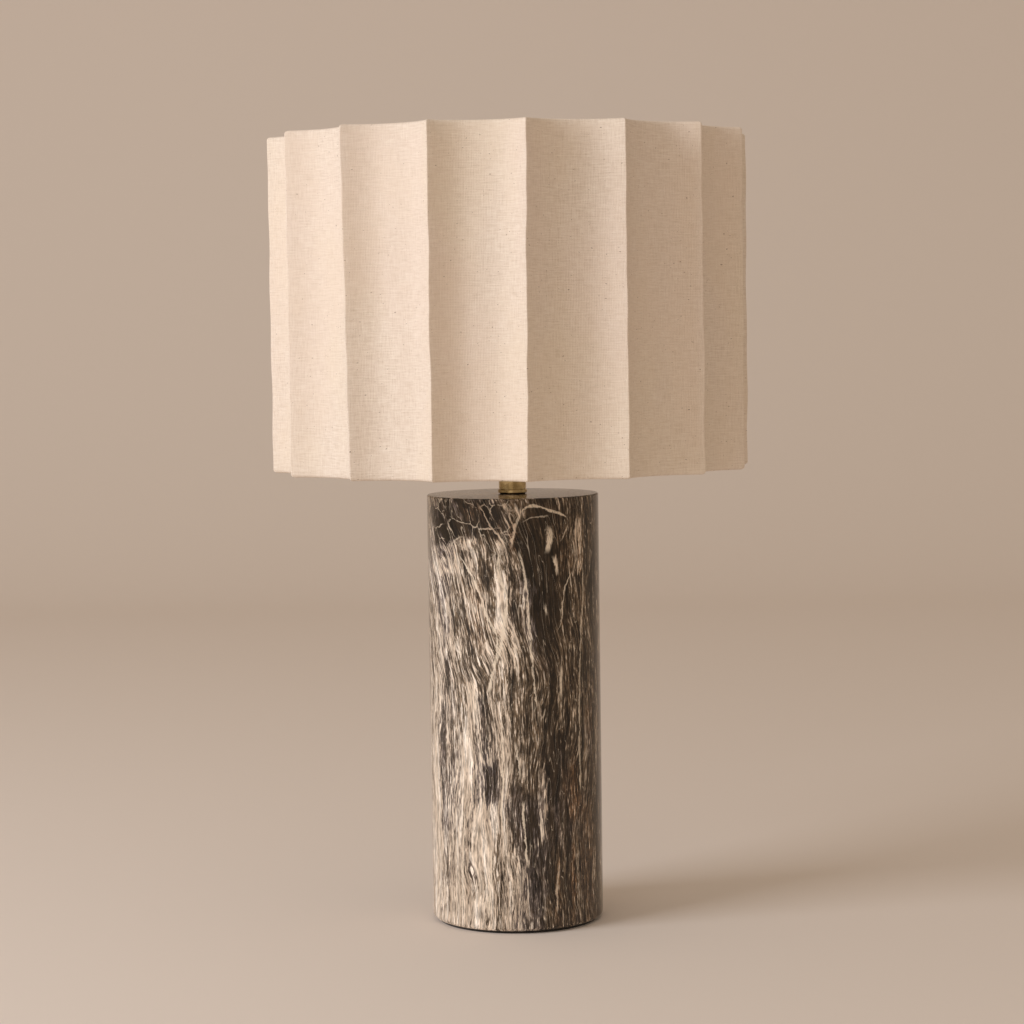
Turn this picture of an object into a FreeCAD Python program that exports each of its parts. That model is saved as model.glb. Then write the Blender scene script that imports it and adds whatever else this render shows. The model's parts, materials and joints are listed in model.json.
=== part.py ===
import FreeCAD, Part
import math
import os

# A table lamp: a cored marble column, a brass neck with a turn-knob socket, a harp
# and a drum shade of linen folded into concave panels with sharp outward ridges.
# Millimetres. The origin is on the table, on the lamp's upright axis. +Z is up,
# the front is -Y, and the harp's legs stand left and right, along X.

Vector = FreeCAD.Vector
UP = Vector(0, 0, 1)
ORIGIN = Vector(0, 0, 0)

# ---------------------------------------------------------------- driving sizes
# Foot and column
pad_thickness = 2.0
pad_inset = 1.5
column_diameter = 127.0
column_height = 315.0
column_core_diameter = 85.0
column_top_thickness = 25.0
column_top_edge = 0.7
column_foot_edge = 3.0
counterbore_diameter = 104.0
counterbore_depth = 9.0
base_plate_thickness = 3.0
base_plate_clearance = 0.4

# Cord outlet at the rear of the foot
cord_hole_height = 24.0
cord_hole_diameter = 10.0
bush_bore_diameter = 6.5
bush_flange_diameter = 15.0
bush_flange_thickness = 1.8
bush_proud = 0.8
bush_inner_end = 1.5

# Threaded lamp pipe and what it clamps
pipe_diameter = 9.8
pipe_bore_diameter = 6.5
pipe_tail = 3.0
clamp_washer_diameter = 38.0
clamp_washer_thickness = 2.0
lock_washer_diameter = 15.5
lock_washer_thickness = 1.2
lock_washer_slot = 1.2
nut_across_flats = 14.3
nut_thickness = 3.2
gasket_diameter = 18.6
gasket_thickness = 0.6
check_ring_diameter = 21.4
check_ring_thickness = 2.8
check_ring_edge = 0.6
neck_diameter = 20.2
neck_height = 16.0
neck_groove_width = 0.7
neck_groove_depth = 0.5
neck_edge = 0.5

# Harp saddle
saddle_width = 12.7
saddle_thickness = 1.2
saddle_shoulder_height = 4.0
tongue_width = 5.0
tongue_height = 10.0

# Socket
cap_hub_diameter = 14.0
cap_hub_height = 7.0
cap_dome_height = 8.0
cap_skirt_height = 9.0
cap_wall = 0.7
set_screw_diameter = 3.0
set_screw_proud = 2.5
set_screw_slot_width = 0.6
set_screw_slot_depth = 0.8
cap_bushing_diameter = 13.0
cap_bushing_flange = 1.5
shell_diameter = 32.8
shell_wall = 0.5
shell_length = 46.0
shell_bead = 0.6
liner_wall = 0.7
liner_short = 2.0
switch_block_height = 21.0
switch_flat_width = 23.0
switch_axis_rise = 11.0
switch_shaft_diameter = 3.2
rotor_diameter = 10.0
rotor_length = 5.0
rotor_end_gap = 0.5
knob_diameter = 12.5
knob_length = 12.0
knob_edge = 1.0
shaft_in_knob = 9.0
knob_gap = 5.0
knob_flutes = 12
flute_diameter = 1.8
rivet_diameter = 2.4
rivet_head_diameter = 4.0
rivet_head_height = 0.8
rivet_spread = 16.0
terminal_head_diameter = 6.0
terminal_head_height = 1.8
terminal_shank_diameter = 3.0
terminal_shank_length = 4.0
terminal_rise = 5.0
terminal_slot_width = 0.8
terminal_slot_depth = 0.6
screw_shell_air = 1.5
screw_shell_wall = 0.4
screw_shell_height = 22.0
contact_hole_diameter = 11.0
contact_leaf_length = 8.0
contact_leaf_width = 4.0
contact_leaf_thickness = 0.4
contact_leaf_rise = 3.0

# Bulb
bulb_diameter = 60.0
bulb_length = 110.0
bulb_base_length = 22.0
bulb_base_wall = 0.5
bulb_tip_diameter = 9.5
bulb_tip_height = 1.6
bulb_insulator_height = 3.0
bulb_collar_height = 22.0
bulb_collar_diameter = 49.0
bulb_wall = 1.2
led_board_diameter = 42.0
led_board_thickness = 1.6
led_board_lip = 3.0
led_board_taper = 1.5
led_chip_count = 8
led_chip_size = 2.8
led_chip_height = 0.7
led_circle_diameter = 26.0
bulb_skirt_drop = 0.53   # of the skirt's height, down to its middle point
bulb_skirt_inset = 0.27  # of the skirt's narrowing, at that point

# Harp
harp_height = 215.9
harp_rod_diameter = 3.2
harp_foot_spacing = 57.2
harp_width = 110.0
harp_foot_thickness = 1.2
harp_foot_straight = 34.0
harp_shoulder_rise = 46.0
harp_bend_radius = 40.0
harp_crown_radius = 45.0
harp_pad_diameter = 15.0
harp_pad_thickness = 2.0
sleeve_wall = 1.1
sleeve_length = 11.0
sleeve_play = 0.3
harp_pad_rise = 0.2

# Turning stud on top of the harp
stud_neck_diameter = 5.0
stud_rivet_diameter = 8.0
stud_rivet_height = 1.2
stud_flange_diameter = 14.0
stud_flange_thickness = 1.6
stud_shoulder_diameter = 10.6
stud_shoulder_height = 1.2
stud_thread_diameter = 6.35
stud_thread_length = 10.0

# Shade
ridge_count = 16
first_ridge_degrees = 4.25
shade_diameter = 351.0
shade_height = 245.1
panel_depth = 13.5
ridge_nose_radius = 1.6
cover_thickness = 0.7
liner_thickness = 0.5
hem_height = 12.0
ring_wire_diameter = 2.4
ring_bend_radius = 1.5
spider_arm_count = 4
spider_arm_diameter = 3.0
spider_hub_diameter = 34.0
spider_hub_thickness = 1.6
spider_drop = 24.9
spider_arm_start = 12.0
spider_bend_radius = 14.0
spider_upturn = 26.0
hem_notch_reach = 4.0

# Finial
finial_washer_diameter = 13.0
finial_washer_thickness = 1.0
finial_height = 22.0
finial_diameter = 14.0
finial_neck_diameter = 8.8
finial_foot_height = 4.4
finial_foot_edge = 1.2
finial_waist_height = 9.24
finial_ball_sink = 0.6
finial_room = 1.0
finial_hole_spare = 0.9

# ------------------------------------------------------------------- clearances
running_clearance = 0.05   # between a turning or sliding piece and its bearing, on the radius
thread_clearance = 0.05    # between a screw thread and its nut, on the radius
pass_clearance = 0.35      # round what only passes through a hole, on the radius
seat_clearance = 0.1       # between pieces that nest
glue_gap = 0.05            # between skins that are glued together

# --------------------------------------------------------------- derived places
column_base_z = pad_thickness
column_top_z = column_base_z + column_height
core_top_z = column_top_z - column_top_thickness
counterbore_top_z = column_base_z + counterbore_depth
cord_hole_z = column_base_z + cord_hole_height
cord_spot_y = column_diameter / 2 - (bush_flange_thickness - bush_proud)

clamp_washer_z = core_top_z - clamp_washer_thickness
lock_washer_z = clamp_washer_z - lock_washer_thickness
nut_z = lock_washer_z - nut_thickness
pipe_base_z = nut_z - pipe_tail

check_ring_z = column_top_z + gasket_thickness
neck_z = check_ring_z + check_ring_thickness
saddle_z = neck_z + neck_height
socket_z = saddle_z + saddle_thickness

hub_top_z = socket_z + cap_hub_height
dome_top_z = hub_top_z + cap_dome_height
skirt_top_z = dome_top_z + cap_skirt_height
pipe_top_z = hub_top_z + seat_clearance
shell_base_z = dome_top_z + seat_clearance
shell_top_z = shell_base_z + shell_length
liner_base_z = shell_base_z
liner_top_z = shell_top_z - liner_short
shell_inner_radius = shell_diameter / 2 - shell_wall
liner_outer_radius = shell_inner_radius - seat_clearance
liner_inner_radius = liner_outer_radius - liner_wall
switch_block_radius = liner_inner_radius - seat_clearance
switch_base_z = shell_base_z + rivet_head_height
switch_axis_z = switch_base_z + switch_axis_rise
switch_top_z = switch_base_z + switch_block_height
cap_skirt_radius = shell_diameter / 2 + seat_clearance + cap_wall
knob_inner_y = cap_skirt_radius + knob_gap
knob_outer_y = knob_inner_y + knob_length
shaft_outer_y = knob_inner_y + shaft_in_knob
terminal_z = switch_base_z + terminal_rise

screw_shell_z = switch_top_z + rivet_head_height
screw_shell_radius = liner_inner_radius - screw_shell_air
screw_shell_inner_radius = screw_shell_radius - screw_shell_wall
bulb_base_diameter = 2 * (screw_shell_inner_radius - running_clearance)
leaf_base_z = switch_top_z
leaf_top_z = leaf_base_z + contact_leaf_rise

bulb_tip_z = leaf_top_z + running_clearance
bulb_insulator_z = bulb_tip_z + bulb_tip_height
bulb_base_z = bulb_insulator_z + bulb_insulator_height
bulb_collar_z = bulb_base_z + bulb_base_length
bulb_collar_top_z = bulb_collar_z + bulb_collar_height
bulb_top_z = bulb_tip_z + bulb_length
bulb_centre_z = bulb_top_z - bulb_diameter / 2

shoulder_z = saddle_z + saddle_thickness + saddle_shoulder_height
sleeve_z = shoulder_z + running_clearance
tongue_top_z = shoulder_z + tongue_height
harp_foot_x = harp_foot_spacing / 2
tongue_outer_x = harp_foot_x - harp_foot_thickness / 2 - running_clearance
sleeve_x = tongue_outer_x
lug_half_thickness = harp_foot_thickness + running_clearance
sleeve_bore_radius = math.hypot(lug_half_thickness, tongue_width / 2) + sleeve_play
harp_foot_z = sleeve_z + seat_clearance
harp_rod_z = tongue_top_z - harp_rod_diameter
harp_bend_z = harp_rod_z + harp_foot_straight
harp_side_z = harp_bend_z + harp_shoulder_rise
harp_pad_top_z = saddle_z + harp_height
harp_crown_z = harp_pad_top_z - harp_rod_diameter / 2 - harp_pad_rise

stud_flange_z = harp_pad_top_z + running_clearance
hub_z = stud_flange_z + stud_flange_thickness
stud_shoulder_top_z = hub_z + stud_shoulder_height
stud_top_z = stud_shoulder_top_z + stud_thread_length
hub_upper_z = hub_z + spider_hub_thickness

shade_top_z = hub_upper_z + spider_drop
shade_base_z = shade_top_z - shade_height
cover_inner_offset = ridge_nose_radius - cover_thickness
liner_outer_offset = cover_inner_offset - glue_gap
liner_inner_offset = liner_outer_offset - liner_thickness
ring_offset = liner_inner_offset - seat_clearance - ring_wire_diameter / 2
hem_outer_offset = ring_offset - ring_wire_diameter / 2 - seat_clearance
hem_inner_offset = hem_outer_offset - cover_thickness
rim_to_ring = cover_thickness + seat_clearance + ring_wire_diameter / 2
top_ring_z = shade_top_z - rim_to_ring
bottom_ring_z = shade_base_z + rim_to_ring

finial_washer_z = hub_upper_z
finial_z = finial_washer_z + finial_washer_thickness
finial_hole_depth = stud_top_z + finial_hole_spare - finial_z

# The panels' arcs all have this radius where they pass through the ridges' nose centres.
half_panel = math.pi / ridge_count
nose_centre_radius = shade_diameter / 2 - ridge_nose_radius
half_chord = nose_centre_radius * math.sin(half_panel)
panel_arc_radius = (half_chord ** 2 + panel_depth ** 2) / (2 * panel_depth)
panel_valley_radius = nose_centre_radius * math.cos(half_panel) - panel_depth
panel_centre_radius = panel_valley_radius + panel_arc_radius


# ---------------------------------------------------------------------- helpers
def cylinder(diameter, low, high, x=0, y=0):
    """An upright cylinder between two heights."""
    return Part.makeCylinder(diameter / 2, high - low, Vector(x, y, low))


def tube(outer, inner, low, high, x=0, y=0):
    """An upright tube between two heights."""
    return cylinder(outer, low, high, x, y).cut(cylinder(inner, low - 1, high + 1, x, y))


def block(x_low, x_high, y_low, y_high, z_low, z_high):
    """A box between two corners."""
    corner = Vector(x_low, y_low, z_low)
    return Part.makeBox(x_high - x_low, y_high - y_low, z_high - z_low, corner)


def rod(diameter, start, end):
    """A round bar from one point to another."""
    run = end.sub(start)
    return Part.makeCylinder(diameter / 2, run.Length, start, run)


def turned(points):
    """A turned piece from its half section, a closed list of (radius, height)."""
    corners = [Vector(radius, 0, height) for radius, height in points]
    section = Part.Face(Part.makePolygon(corners + [corners[0]]))
    return section.revolve(ORIGIN, UP, 360)


def edges_at(shape, height, radius=None):
    """The shape's round edges at a height, and of one radius when it is given."""
    found = []
    for edge in shape.Edges:
        level = abs(edge.BoundBox.ZMin - height) < 0.001 and abs(edge.BoundBox.ZMax - height) < 0.001
        if not level or not isinstance(edge.Curve, Part.Circle):
            continue
        if radius is None or abs(edge.Curve.Radius - radius) < 0.001:
            found.append(edge)
    return found


def rounded_path(points, radii):
    """Straight runs through the points, with a tangent arc of its own radius at each inner point."""
    edges = []
    start = points[0]
    for i, radius in enumerate(radii, start=1):
        back = points[i - 1].sub(points[i]).normalize()
        ahead = points[i + 1].sub(points[i]).normalize()
        half_angle = back.getAngle(ahead) / 2
        reach = radius / math.tan(half_angle)
        entry = points[i].add(back * reach)
        leave = points[i].add(ahead * reach)
        inward = back.add(ahead).normalize()
        middle = points[i].add(inward * (radius / math.sin(half_angle) - radius))
        edges.append(Part.LineSegment(start, entry).toShape())
        edges.append(Part.Arc(entry, middle, leave).toShape())
        start = leave
    edges.append(Part.LineSegment(start, points[-1]).toShape())
    return Part.Wire(edges)


def swept(path, diameter, start, direction):
    """A round wire along a path."""
    section = Part.Wire([Part.Circle(start, direction, diameter / 2).toShape()])
    return path.makePipeShell([section], True, False)


def around(angle, radius, height=0):
    """A point by its angle from the front, turning towards +X, and its distance from the axis."""
    return Vector(radius * math.sin(angle), -radius * math.cos(angle), height)


def ridge_angle(index):
    """The angle of a ridge from the front."""
    return math.radians(first_ridge_degrees) + 2 * half_panel * index


def scallop_wire(offset, nose, height):
    """The shade's outline in plan: concave panels joined by small round noses.

    The offset is outward from the arcs that pass through the nose centres of the cover.
    """
    arc_radius = panel_arc_radius - offset
    sideways = panel_centre_radius * math.sin(half_panel)
    inward = math.sqrt((arc_radius + nose) ** 2 - sideways ** 2)
    nose_radius = panel_centre_radius * math.cos(half_panel) - inward
    edges = []
    for k in range(ridge_count):
        angle = ridge_angle(k)
        nose_centre = around(angle, nose_radius, height)
        before = around(angle - half_panel, panel_centre_radius, height)
        after = around(angle + half_panel, panel_centre_radius, height)
        next_centre = around(angle + 2 * half_panel, nose_radius, height)
        nose_start = nose_centre.add(before.sub(nose_centre).normalize() * nose)
        nose_end = nose_centre.add(after.sub(nose_centre).normalize() * nose)
        next_start = next_centre.add(after.sub(next_centre).normalize() * nose)
        tip = around(angle, nose_radius + nose, height)
        valley = around(angle + half_panel, panel_centre_radius - arc_radius, height)
        edges.append(Part.Arc(nose_start, tip, nose_end).toShape())
        edges.append(Part.Arc(nose_end, valley, next_start).toShape())
    return Part.Wire(edges)


def scallop_prism(offset, nose, low, high):
    """A solid with the scalloped outline between two heights."""
    return Part.Face(scallop_wire(offset, nose, low)).extrude(Vector(0, 0, high - low))


def save(node, shape):
    """Write one sub-part as a STEP file."""
    shape.exportStep("parts/" + node + ".step")


# -------------------------------------------------------------- foot and column
def marble_column():
    """Marble cylinder, cored from below, with the pipe hole, counterbore and cord hole."""
    body = cylinder(column_diameter, column_base_z, column_top_z)
    body = body.makeFillet(column_foot_edge, edges_at(body, column_base_z))
    body = body.makeChamfer(column_top_edge, edges_at(body, column_top_z))
    body = body.cut(cylinder(column_core_diameter, column_base_z - 1, core_top_z))
    body = body.cut(cylinder(counterbore_diameter, column_base_z - 1, counterbore_top_z))
    body = body.cut(cylinder(pipe_diameter + 2 * pass_clearance, core_top_z - 1, column_top_z + 1))
    inside = Vector(0, 0, cord_hole_z)
    outside = Vector(0, column_diameter, cord_hole_z)
    body = body.cut(rod(cord_hole_diameter, inside, outside))
    spot = Vector(0, cord_spot_y, cord_hole_z)
    return body.cut(rod(bush_flange_diameter + 2 * pass_clearance, spot, outside))


def base_plate():
    """Steel disc that closes the core from below."""
    diameter = counterbore_diameter - 2 * base_plate_clearance
    return cylinder(diameter, counterbore_top_z - base_plate_thickness, counterbore_top_z)


def felt_pad():
    """Felt disc under the foot, set back from the stone's rounded edge."""
    diameter = column_diameter - 2 * (column_foot_edge + pad_inset)
    return cylinder(diameter, 0, pad_thickness)


def cord_bush():
    """Flanged bush in the rear cord hole."""
    bush_end_y = column_core_diameter / 2 - bush_inner_end
    inner = Vector(0, bush_end_y, cord_hole_z)
    seat = Vector(0, cord_spot_y, cord_hole_z)
    face = Vector(0, cord_spot_y + bush_flange_thickness, cord_hole_z)
    barrel = rod(cord_hole_diameter - 2 * seat_clearance, inner, seat)
    flange = rod(bush_flange_diameter, seat, face)
    bore_start = Vector(0, bush_end_y - 1, cord_hole_z)
    bore = rod(bush_bore_diameter, bore_start, Vector(0, column_diameter, cord_hole_z))
    return barrel.fuse(flange).removeSplitter().cut(bore)


# ------------------------------------------------------- clamped stack and neck
pipe_thread_hole = pipe_diameter + 2 * thread_clearance
pipe_pass_hole = pipe_diameter + 2 * pass_clearance


def pipe_nipple():
    """Threaded lamp pipe, from under the stone's top up into the socket cap."""
    return tube(pipe_diameter, pipe_bore_diameter, pipe_base_z, pipe_top_z)


def clamp_washer():
    return tube(clamp_washer_diameter, pipe_pass_hole, clamp_washer_z, core_top_z)


def lock_washer():
    """Split spring washer."""
    ring = tube(lock_washer_diameter, pipe_pass_hole, lock_washer_z, clamp_washer_z)
    half = lock_washer_slot / 2
    slot = block(0, lock_washer_diameter, -half, half, lock_washer_z - 1, clamp_washer_z + 1)
    return ring.cut(slot)


def nipple_nut():
    """Hex nut under the stone's top."""
    corner = nut_across_flats / math.sqrt(3)
    corners = [around(math.pi / 3 * k, corner, nut_z) for k in range(7)]
    hexagon = Part.Face(Part.makePolygon(corners)).extrude(Vector(0, 0, nut_thickness))
    return hexagon.cut(cylinder(pipe_thread_hole, nut_z - 1, lock_washer_z + 1))


def neck_gasket():
    return tube(gasket_diameter, pipe_pass_hole, column_top_z, check_ring_z)


def check_ring():
    """Brass rib at the foot of the neck, with eased edges."""
    ring = cylinder(check_ring_diameter, check_ring_z, neck_z)
    ring = ring.makeFillet(check_ring_edge, ring.Edges[:1] + ring.Edges[2:])
    return ring.cut(cylinder(pipe_pass_hole, check_ring_z - 1, neck_z + 1))


def neck():
    """Brass neck with a fine groove above the rib."""
    body = cylinder(neck_diameter, neck_z, saddle_z)
    body = body.makeFillet(neck_edge, edges_at(body, saddle_z))
    groove_diameter = neck_diameter - 2 * neck_groove_depth
    groove = tube(neck_diameter + 2, groove_diameter, neck_z - 1, neck_z + neck_groove_width)
    body = body.cut(groove)
    return body.cut(cylinder(pipe_pass_hole, neck_z - 1, saddle_z + 1))


def harp_saddle():
    """U-shaped strip with a shouldered tongue at each end."""
    half_width = saddle_width / 2
    outer = tongue_outer_x
    inner = outer - saddle_thickness
    plate = block(-outer, outer, -half_width, half_width, saddle_z, socket_z)
    for side_low, side_high in ((inner, outer), (-outer, -inner)):
        ear = block(side_low, side_high, -half_width, half_width, saddle_z, shoulder_z)
        tongue = block(side_low, side_high, -tongue_width / 2, tongue_width / 2, saddle_z, tongue_top_z)
        plate = plate.fuse(ear).fuse(tongue)
    return plate.removeSplitter().cut(cylinder(pipe_pass_hole, saddle_z - 1, socket_z + 1))


# ----------------------------------------------------------------------- socket
def socket_cap():
    """Brass cap: threaded hub, dome and skirt, with the set screw's hole."""
    hub_radius = cap_hub_diameter / 2
    inner_skirt = cap_skirt_radius - cap_wall
    profile = [
        (pipe_thread_hole / 2, socket_z),
        (hub_radius, socket_z),
        (hub_radius, hub_top_z),
        (cap_skirt_radius, dome_top_z),
        (cap_skirt_radius, skirt_top_z),
        (inner_skirt, skirt_top_z),
        (inner_skirt, dome_top_z),
        (hub_radius, hub_top_z + cap_wall),
        (pipe_thread_hole / 2, hub_top_z + cap_wall),
    ]
    cap = turned(profile)
    height = socket_z + cap_hub_height / 2
    outside = Vector(0, cap_hub_diameter, height)
    return cap.cut(rod(set_screw_diameter + 2 * thread_clearance, Vector(0, 0, height), outside))


def cap_set_screw():
    """Small screw that locks the cap on the pipe."""
    height = socket_z + cap_hub_height / 2
    inner_y = pipe_diameter / 2 + seat_clearance
    outer_y = cap_hub_diameter / 2 + set_screw_proud
    screw = rod(set_screw_diameter, Vector(0, inner_y, height), Vector(0, outer_y, height))
    half = set_screw_slot_width / 2
    across = set_screw_diameter
    slot = block(-across, across, outer_y - set_screw_slot_depth, outer_y + 1, height - half, height + half)
    return screw.cut(slot)


def cap_bushing():
    """Insulating bush on the pipe's upper end."""
    skirt_low = hub_top_z + cap_wall
    top = skirt_low + cap_bushing_flange
    return tube(cap_bushing_diameter, pipe_bore_diameter, skirt_low, top)


def socket_shell():
    """Brass shell with a rolled bead at its mouth and a slot for the switch shaft."""
    radius = shell_diameter / 2
    profile = [
        (shell_inner_radius, shell_base_z),
        (radius, shell_base_z),
        (radius, shell_top_z - 2 * shell_bead),
        (radius + shell_bead, shell_top_z - shell_bead),
        (radius, shell_top_z),
        (shell_inner_radius, shell_top_z),
    ]
    return turned(profile).cut(shaft_hole(shell_diameter)).cut(shaft_slot())


def shaft_hole(length):
    """The hole for the switch shaft, from the axis out to the front."""
    front = Vector(0, -length, switch_axis_z)
    return rod(switch_shaft_diameter + 2 * pass_clearance, Vector(0, 0, switch_axis_z), front)


def shaft_slot():
    """Slot below the shaft, which lets a sleeve drop over it from above."""
    half = switch_shaft_diameter / 2 + pass_clearance
    return block(-half, half, -shell_diameter, 0, shell_base_z - 1, switch_axis_z)


def socket_liner():
    """Insulating sleeve between the shell and the switch."""
    sleeve = tube(2 * liner_outer_radius, 2 * liner_inner_radius, liner_base_z, liner_top_z)
    return sleeve.cut(shaft_hole(shell_diameter)).cut(shaft_slot())


def switch_half(low, high):
    """One half of the insulating switch body, between two heights."""
    body = cylinder(2 * switch_block_radius, low, high)
    for side in (-1, 1):
        x_near = side * switch_flat_width / 2
        x_far = side * shell_diameter
        x_low, x_high = min(x_near, x_far), max(x_near, x_far)
        body = body.cut(block(x_low, x_high, -shell_diameter, shell_diameter, low - 1, high + 1))
    cavity_half = rotor_length / 2 + rotor_end_gap
    cavity_diameter = rotor_diameter + 2 * pass_clearance
    rear = Vector(0, cavity_half, switch_axis_z)
    body = body.cut(rod(cavity_diameter, rear, Vector(0, -cavity_half, switch_axis_z)))
    bearing = switch_shaft_diameter + 2 * running_clearance
    body = body.cut(rod(bearing, Vector(0, 0, switch_axis_z), Vector(0, -shell_diameter, switch_axis_z)))
    for y in (-rivet_spread / 2, rivet_spread / 2):
        hole = cylinder(rivet_diameter + 2 * seat_clearance, low - 1, high + 1, x=0, y=0)
        hole.translate(Vector(rivet_place_x(y), y, 0))
        body = body.cut(hole)
    return body


def rivet_place_x(y):
    """The rivets stand on a diagonal, clear of the shaft."""
    return switch_flat_width / 4 if y > 0 else -switch_flat_width / 4


def switch_base():
    """Lower half of the switch body, with the terminals' holes."""
    body = switch_half(switch_base_z, switch_axis_z)
    for side in (-1, 1):
        depth = terminal_shank_length + rotor_end_gap
        near = Vector(side * (switch_flat_width / 2 - depth), 0, terminal_z)
        far = Vector(side * shell_diameter, 0, terminal_z)
        body = body.cut(rod(terminal_shank_diameter + 2 * thread_clearance, near, far))
    return body


def switch_cover():
    """Upper half of the switch body."""
    return switch_half(switch_axis_z, switch_top_z)


def switch_rivets():
    """Two rivets through both halves of the switch body."""
    rivets = []
    for y in (-rivet_spread / 2, rivet_spread / 2):
        x = rivet_place_x(y)
        shank = cylinder(rivet_diameter, switch_base_z - rivet_head_height, screw_shell_z, x, y)
        low_head = cylinder(rivet_head_diameter, switch_base_z - rivet_head_height, switch_base_z, x, y)
        top_head = cylinder(rivet_head_diameter, switch_top_z, screw_shell_z, x, y)
        rivets.append(shank.fuse(low_head).fuse(top_head).removeSplitter())
    return Part.makeCompound(rivets)


def terminal_screws():
    """Two binding screws on the flats of the switch body."""
    screws = []
    for side in (-1, 1):
        flat_x = side * switch_flat_width / 2
        seat = Vector(flat_x, 0, terminal_z)
        tip = Vector(flat_x - side * terminal_shank_length, 0, terminal_z)
        face = Vector(flat_x + side * terminal_head_height, 0, terminal_z)
        screw = rod(terminal_shank_diameter, tip, seat).fuse(rod(terminal_head_diameter, seat, face))
        floor = flat_x + side * (terminal_head_height - terminal_slot_depth)
        cuts = [floor, floor + side * terminal_head_diameter]
        across, half = terminal_head_diameter, terminal_slot_width / 2
        slot = block(min(cuts), max(cuts), -across, across, terminal_z - half, terminal_z + half)
        screws.append(screw.removeSplitter().cut(slot))
    return Part.makeCompound(screws)


def screw_shell():
    """Brass sleeve that takes the bulb, with a floor round the centre contact."""
    outer = screw_shell_radius
    top = screw_shell_z + screw_shell_height
    profile = [
        (contact_hole_diameter / 2, screw_shell_z),
        (outer, screw_shell_z),
        (outer, top),
        (screw_shell_inner_radius, top),
        (screw_shell_inner_radius, screw_shell_z + screw_shell_wall),
        (contact_hole_diameter / 2, screw_shell_z + screw_shell_wall),
    ]
    return turned(profile)


def centre_contact():
    """Bowed brass leaf under the bulb's tip."""
    half = contact_leaf_length / 2
    low = leaf_base_z
    crown_low = leaf_top_z - contact_leaf_thickness
    foot = contact_leaf_thickness
    upper = Part.Arc(Vector(-half, 0, low + foot), Vector(0, 0, leaf_top_z), Vector(half, 0, low + foot))
    under = Part.Arc(Vector(half - foot, 0, low), Vector(0, 0, crown_low), Vector(foot - half, 0, low))
    outline = Part.Wire([
        upper.toShape(),
        Part.LineSegment(Vector(half, 0, low + foot), Vector(half, 0, low)).toShape(),
        Part.LineSegment(Vector(half, 0, low), Vector(half - foot, 0, low)).toShape(),
        under.toShape(),
        Part.LineSegment(Vector(foot - half, 0, low), Vector(-half, 0, low)).toShape(),
        Part.LineSegment(Vector(-half, 0, low), Vector(-half, 0, low + foot)).toShape(),
    ])
    leaf = Part.Face(outline).extrude(Vector(0, contact_leaf_width, 0))
    leaf.translate(Vector(0, -contact_leaf_width / 2, 0))
    return leaf


# ------------------------------------------------------------------ switch knob
def switch_rotor():
    """Cam that makes and breaks the contact."""
    rear = Vector(0, rotor_length / 2, switch_axis_z)
    return rod(rotor_diameter, rear, Vector(0, -rotor_length / 2, switch_axis_z))


def switch_shaft():
    """Shaft from the rotor to the knob."""
    inner = Vector(0, -rotor_length / 2, switch_axis_z)
    return rod(switch_shaft_diameter, inner, Vector(0, -shaft_outer_y, switch_axis_z))


def switch_knob():
    """Fluted knob on the shaft."""
    inner = Vector(0, -knob_inner_y, switch_axis_z)
    outer = Vector(0, -knob_outer_y, switch_axis_z)
    knob = rod(knob_diameter, inner, outer)
    front_edges = [e for e in knob.Edges if e.BoundBox.YMax < -knob_outer_y + 0.01]
    knob = knob.makeFillet(knob_edge, front_edges)
    for k in range(knob_flutes):
        angle = 2 * math.pi * k / knob_flutes
        x = knob_diameter / 2 * math.cos(angle)
        z = switch_axis_z + knob_diameter / 2 * math.sin(angle)
        flute = rod(flute_diameter, Vector(x, -knob_inner_y - 2, z), Vector(x, -knob_outer_y - 1, z))
        knob = knob.cut(flute)
    bore_end = Vector(0, -shaft_outer_y - seat_clearance, switch_axis_z)
    return knob.cut(rod(switch_shaft_diameter + 2 * glue_gap, Vector(0, 0, switch_axis_z), bore_end))


# ------------------------------------------------------------------------- bulb
def bulb_tip():
    return cylinder(bulb_tip_diameter, bulb_tip_z, bulb_insulator_z)


def bulb_insulator():
    """Glass cone between the tip and the screw base."""
    radius_low = bulb_tip_diameter / 2
    radius_high = bulb_base_diameter / 2 - bulb_base_wall
    return Part.makeCone(radius_low, radius_high, bulb_insulator_height, Vector(0, 0, bulb_insulator_z))


def bulb_base():
    """Screw base of the bulb, plain outside."""
    return tube(bulb_base_diameter, bulb_base_diameter - 2 * bulb_base_wall, bulb_base_z, bulb_collar_z)


def bulb_collar():
    """Plastic housing that widens from the base to the envelope."""
    base_radius = bulb_base_diameter / 2
    top_radius = bulb_collar_diameter / 2
    profile = [
        (base_radius - bulb_wall, bulb_collar_z),
        (base_radius, bulb_collar_z),
        (top_radius, bulb_collar_top_z),
        (top_radius - bulb_wall, bulb_collar_top_z),
        (base_radius - bulb_wall, bulb_collar_z + bulb_wall),
    ]
    return turned(profile)


def bulb_led_board():
    """Round board with a ring of chips, on the collar's rim."""
    low = bulb_collar_top_z
    board = cylinder(led_board_diameter, low, low + led_board_thickness)
    rim_radius = bulb_collar_diameter / 2 - bulb_wall - seat_clearance
    for k in range(led_chip_count):
        place = around(2 * math.pi * k / led_chip_count, led_circle_diameter / 2, low + led_board_thickness)
        half = led_chip_size / 2
        chip = block(-half, half, -half, half, 0, led_chip_height)
        chip.translate(place)
        board = board.fuse(chip)
    foot_low = bulb_collar_top_z - bulb_wall
    foot_profile = [
        (led_board_diameter / 2 - led_board_lip, foot_low),
        (rim_radius - led_board_taper, foot_low),
        (led_board_diameter / 2, low),
        (led_board_diameter / 2 - led_board_lip, low),
    ]
    return board.fuse(turned(foot_profile)).removeSplitter()


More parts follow.
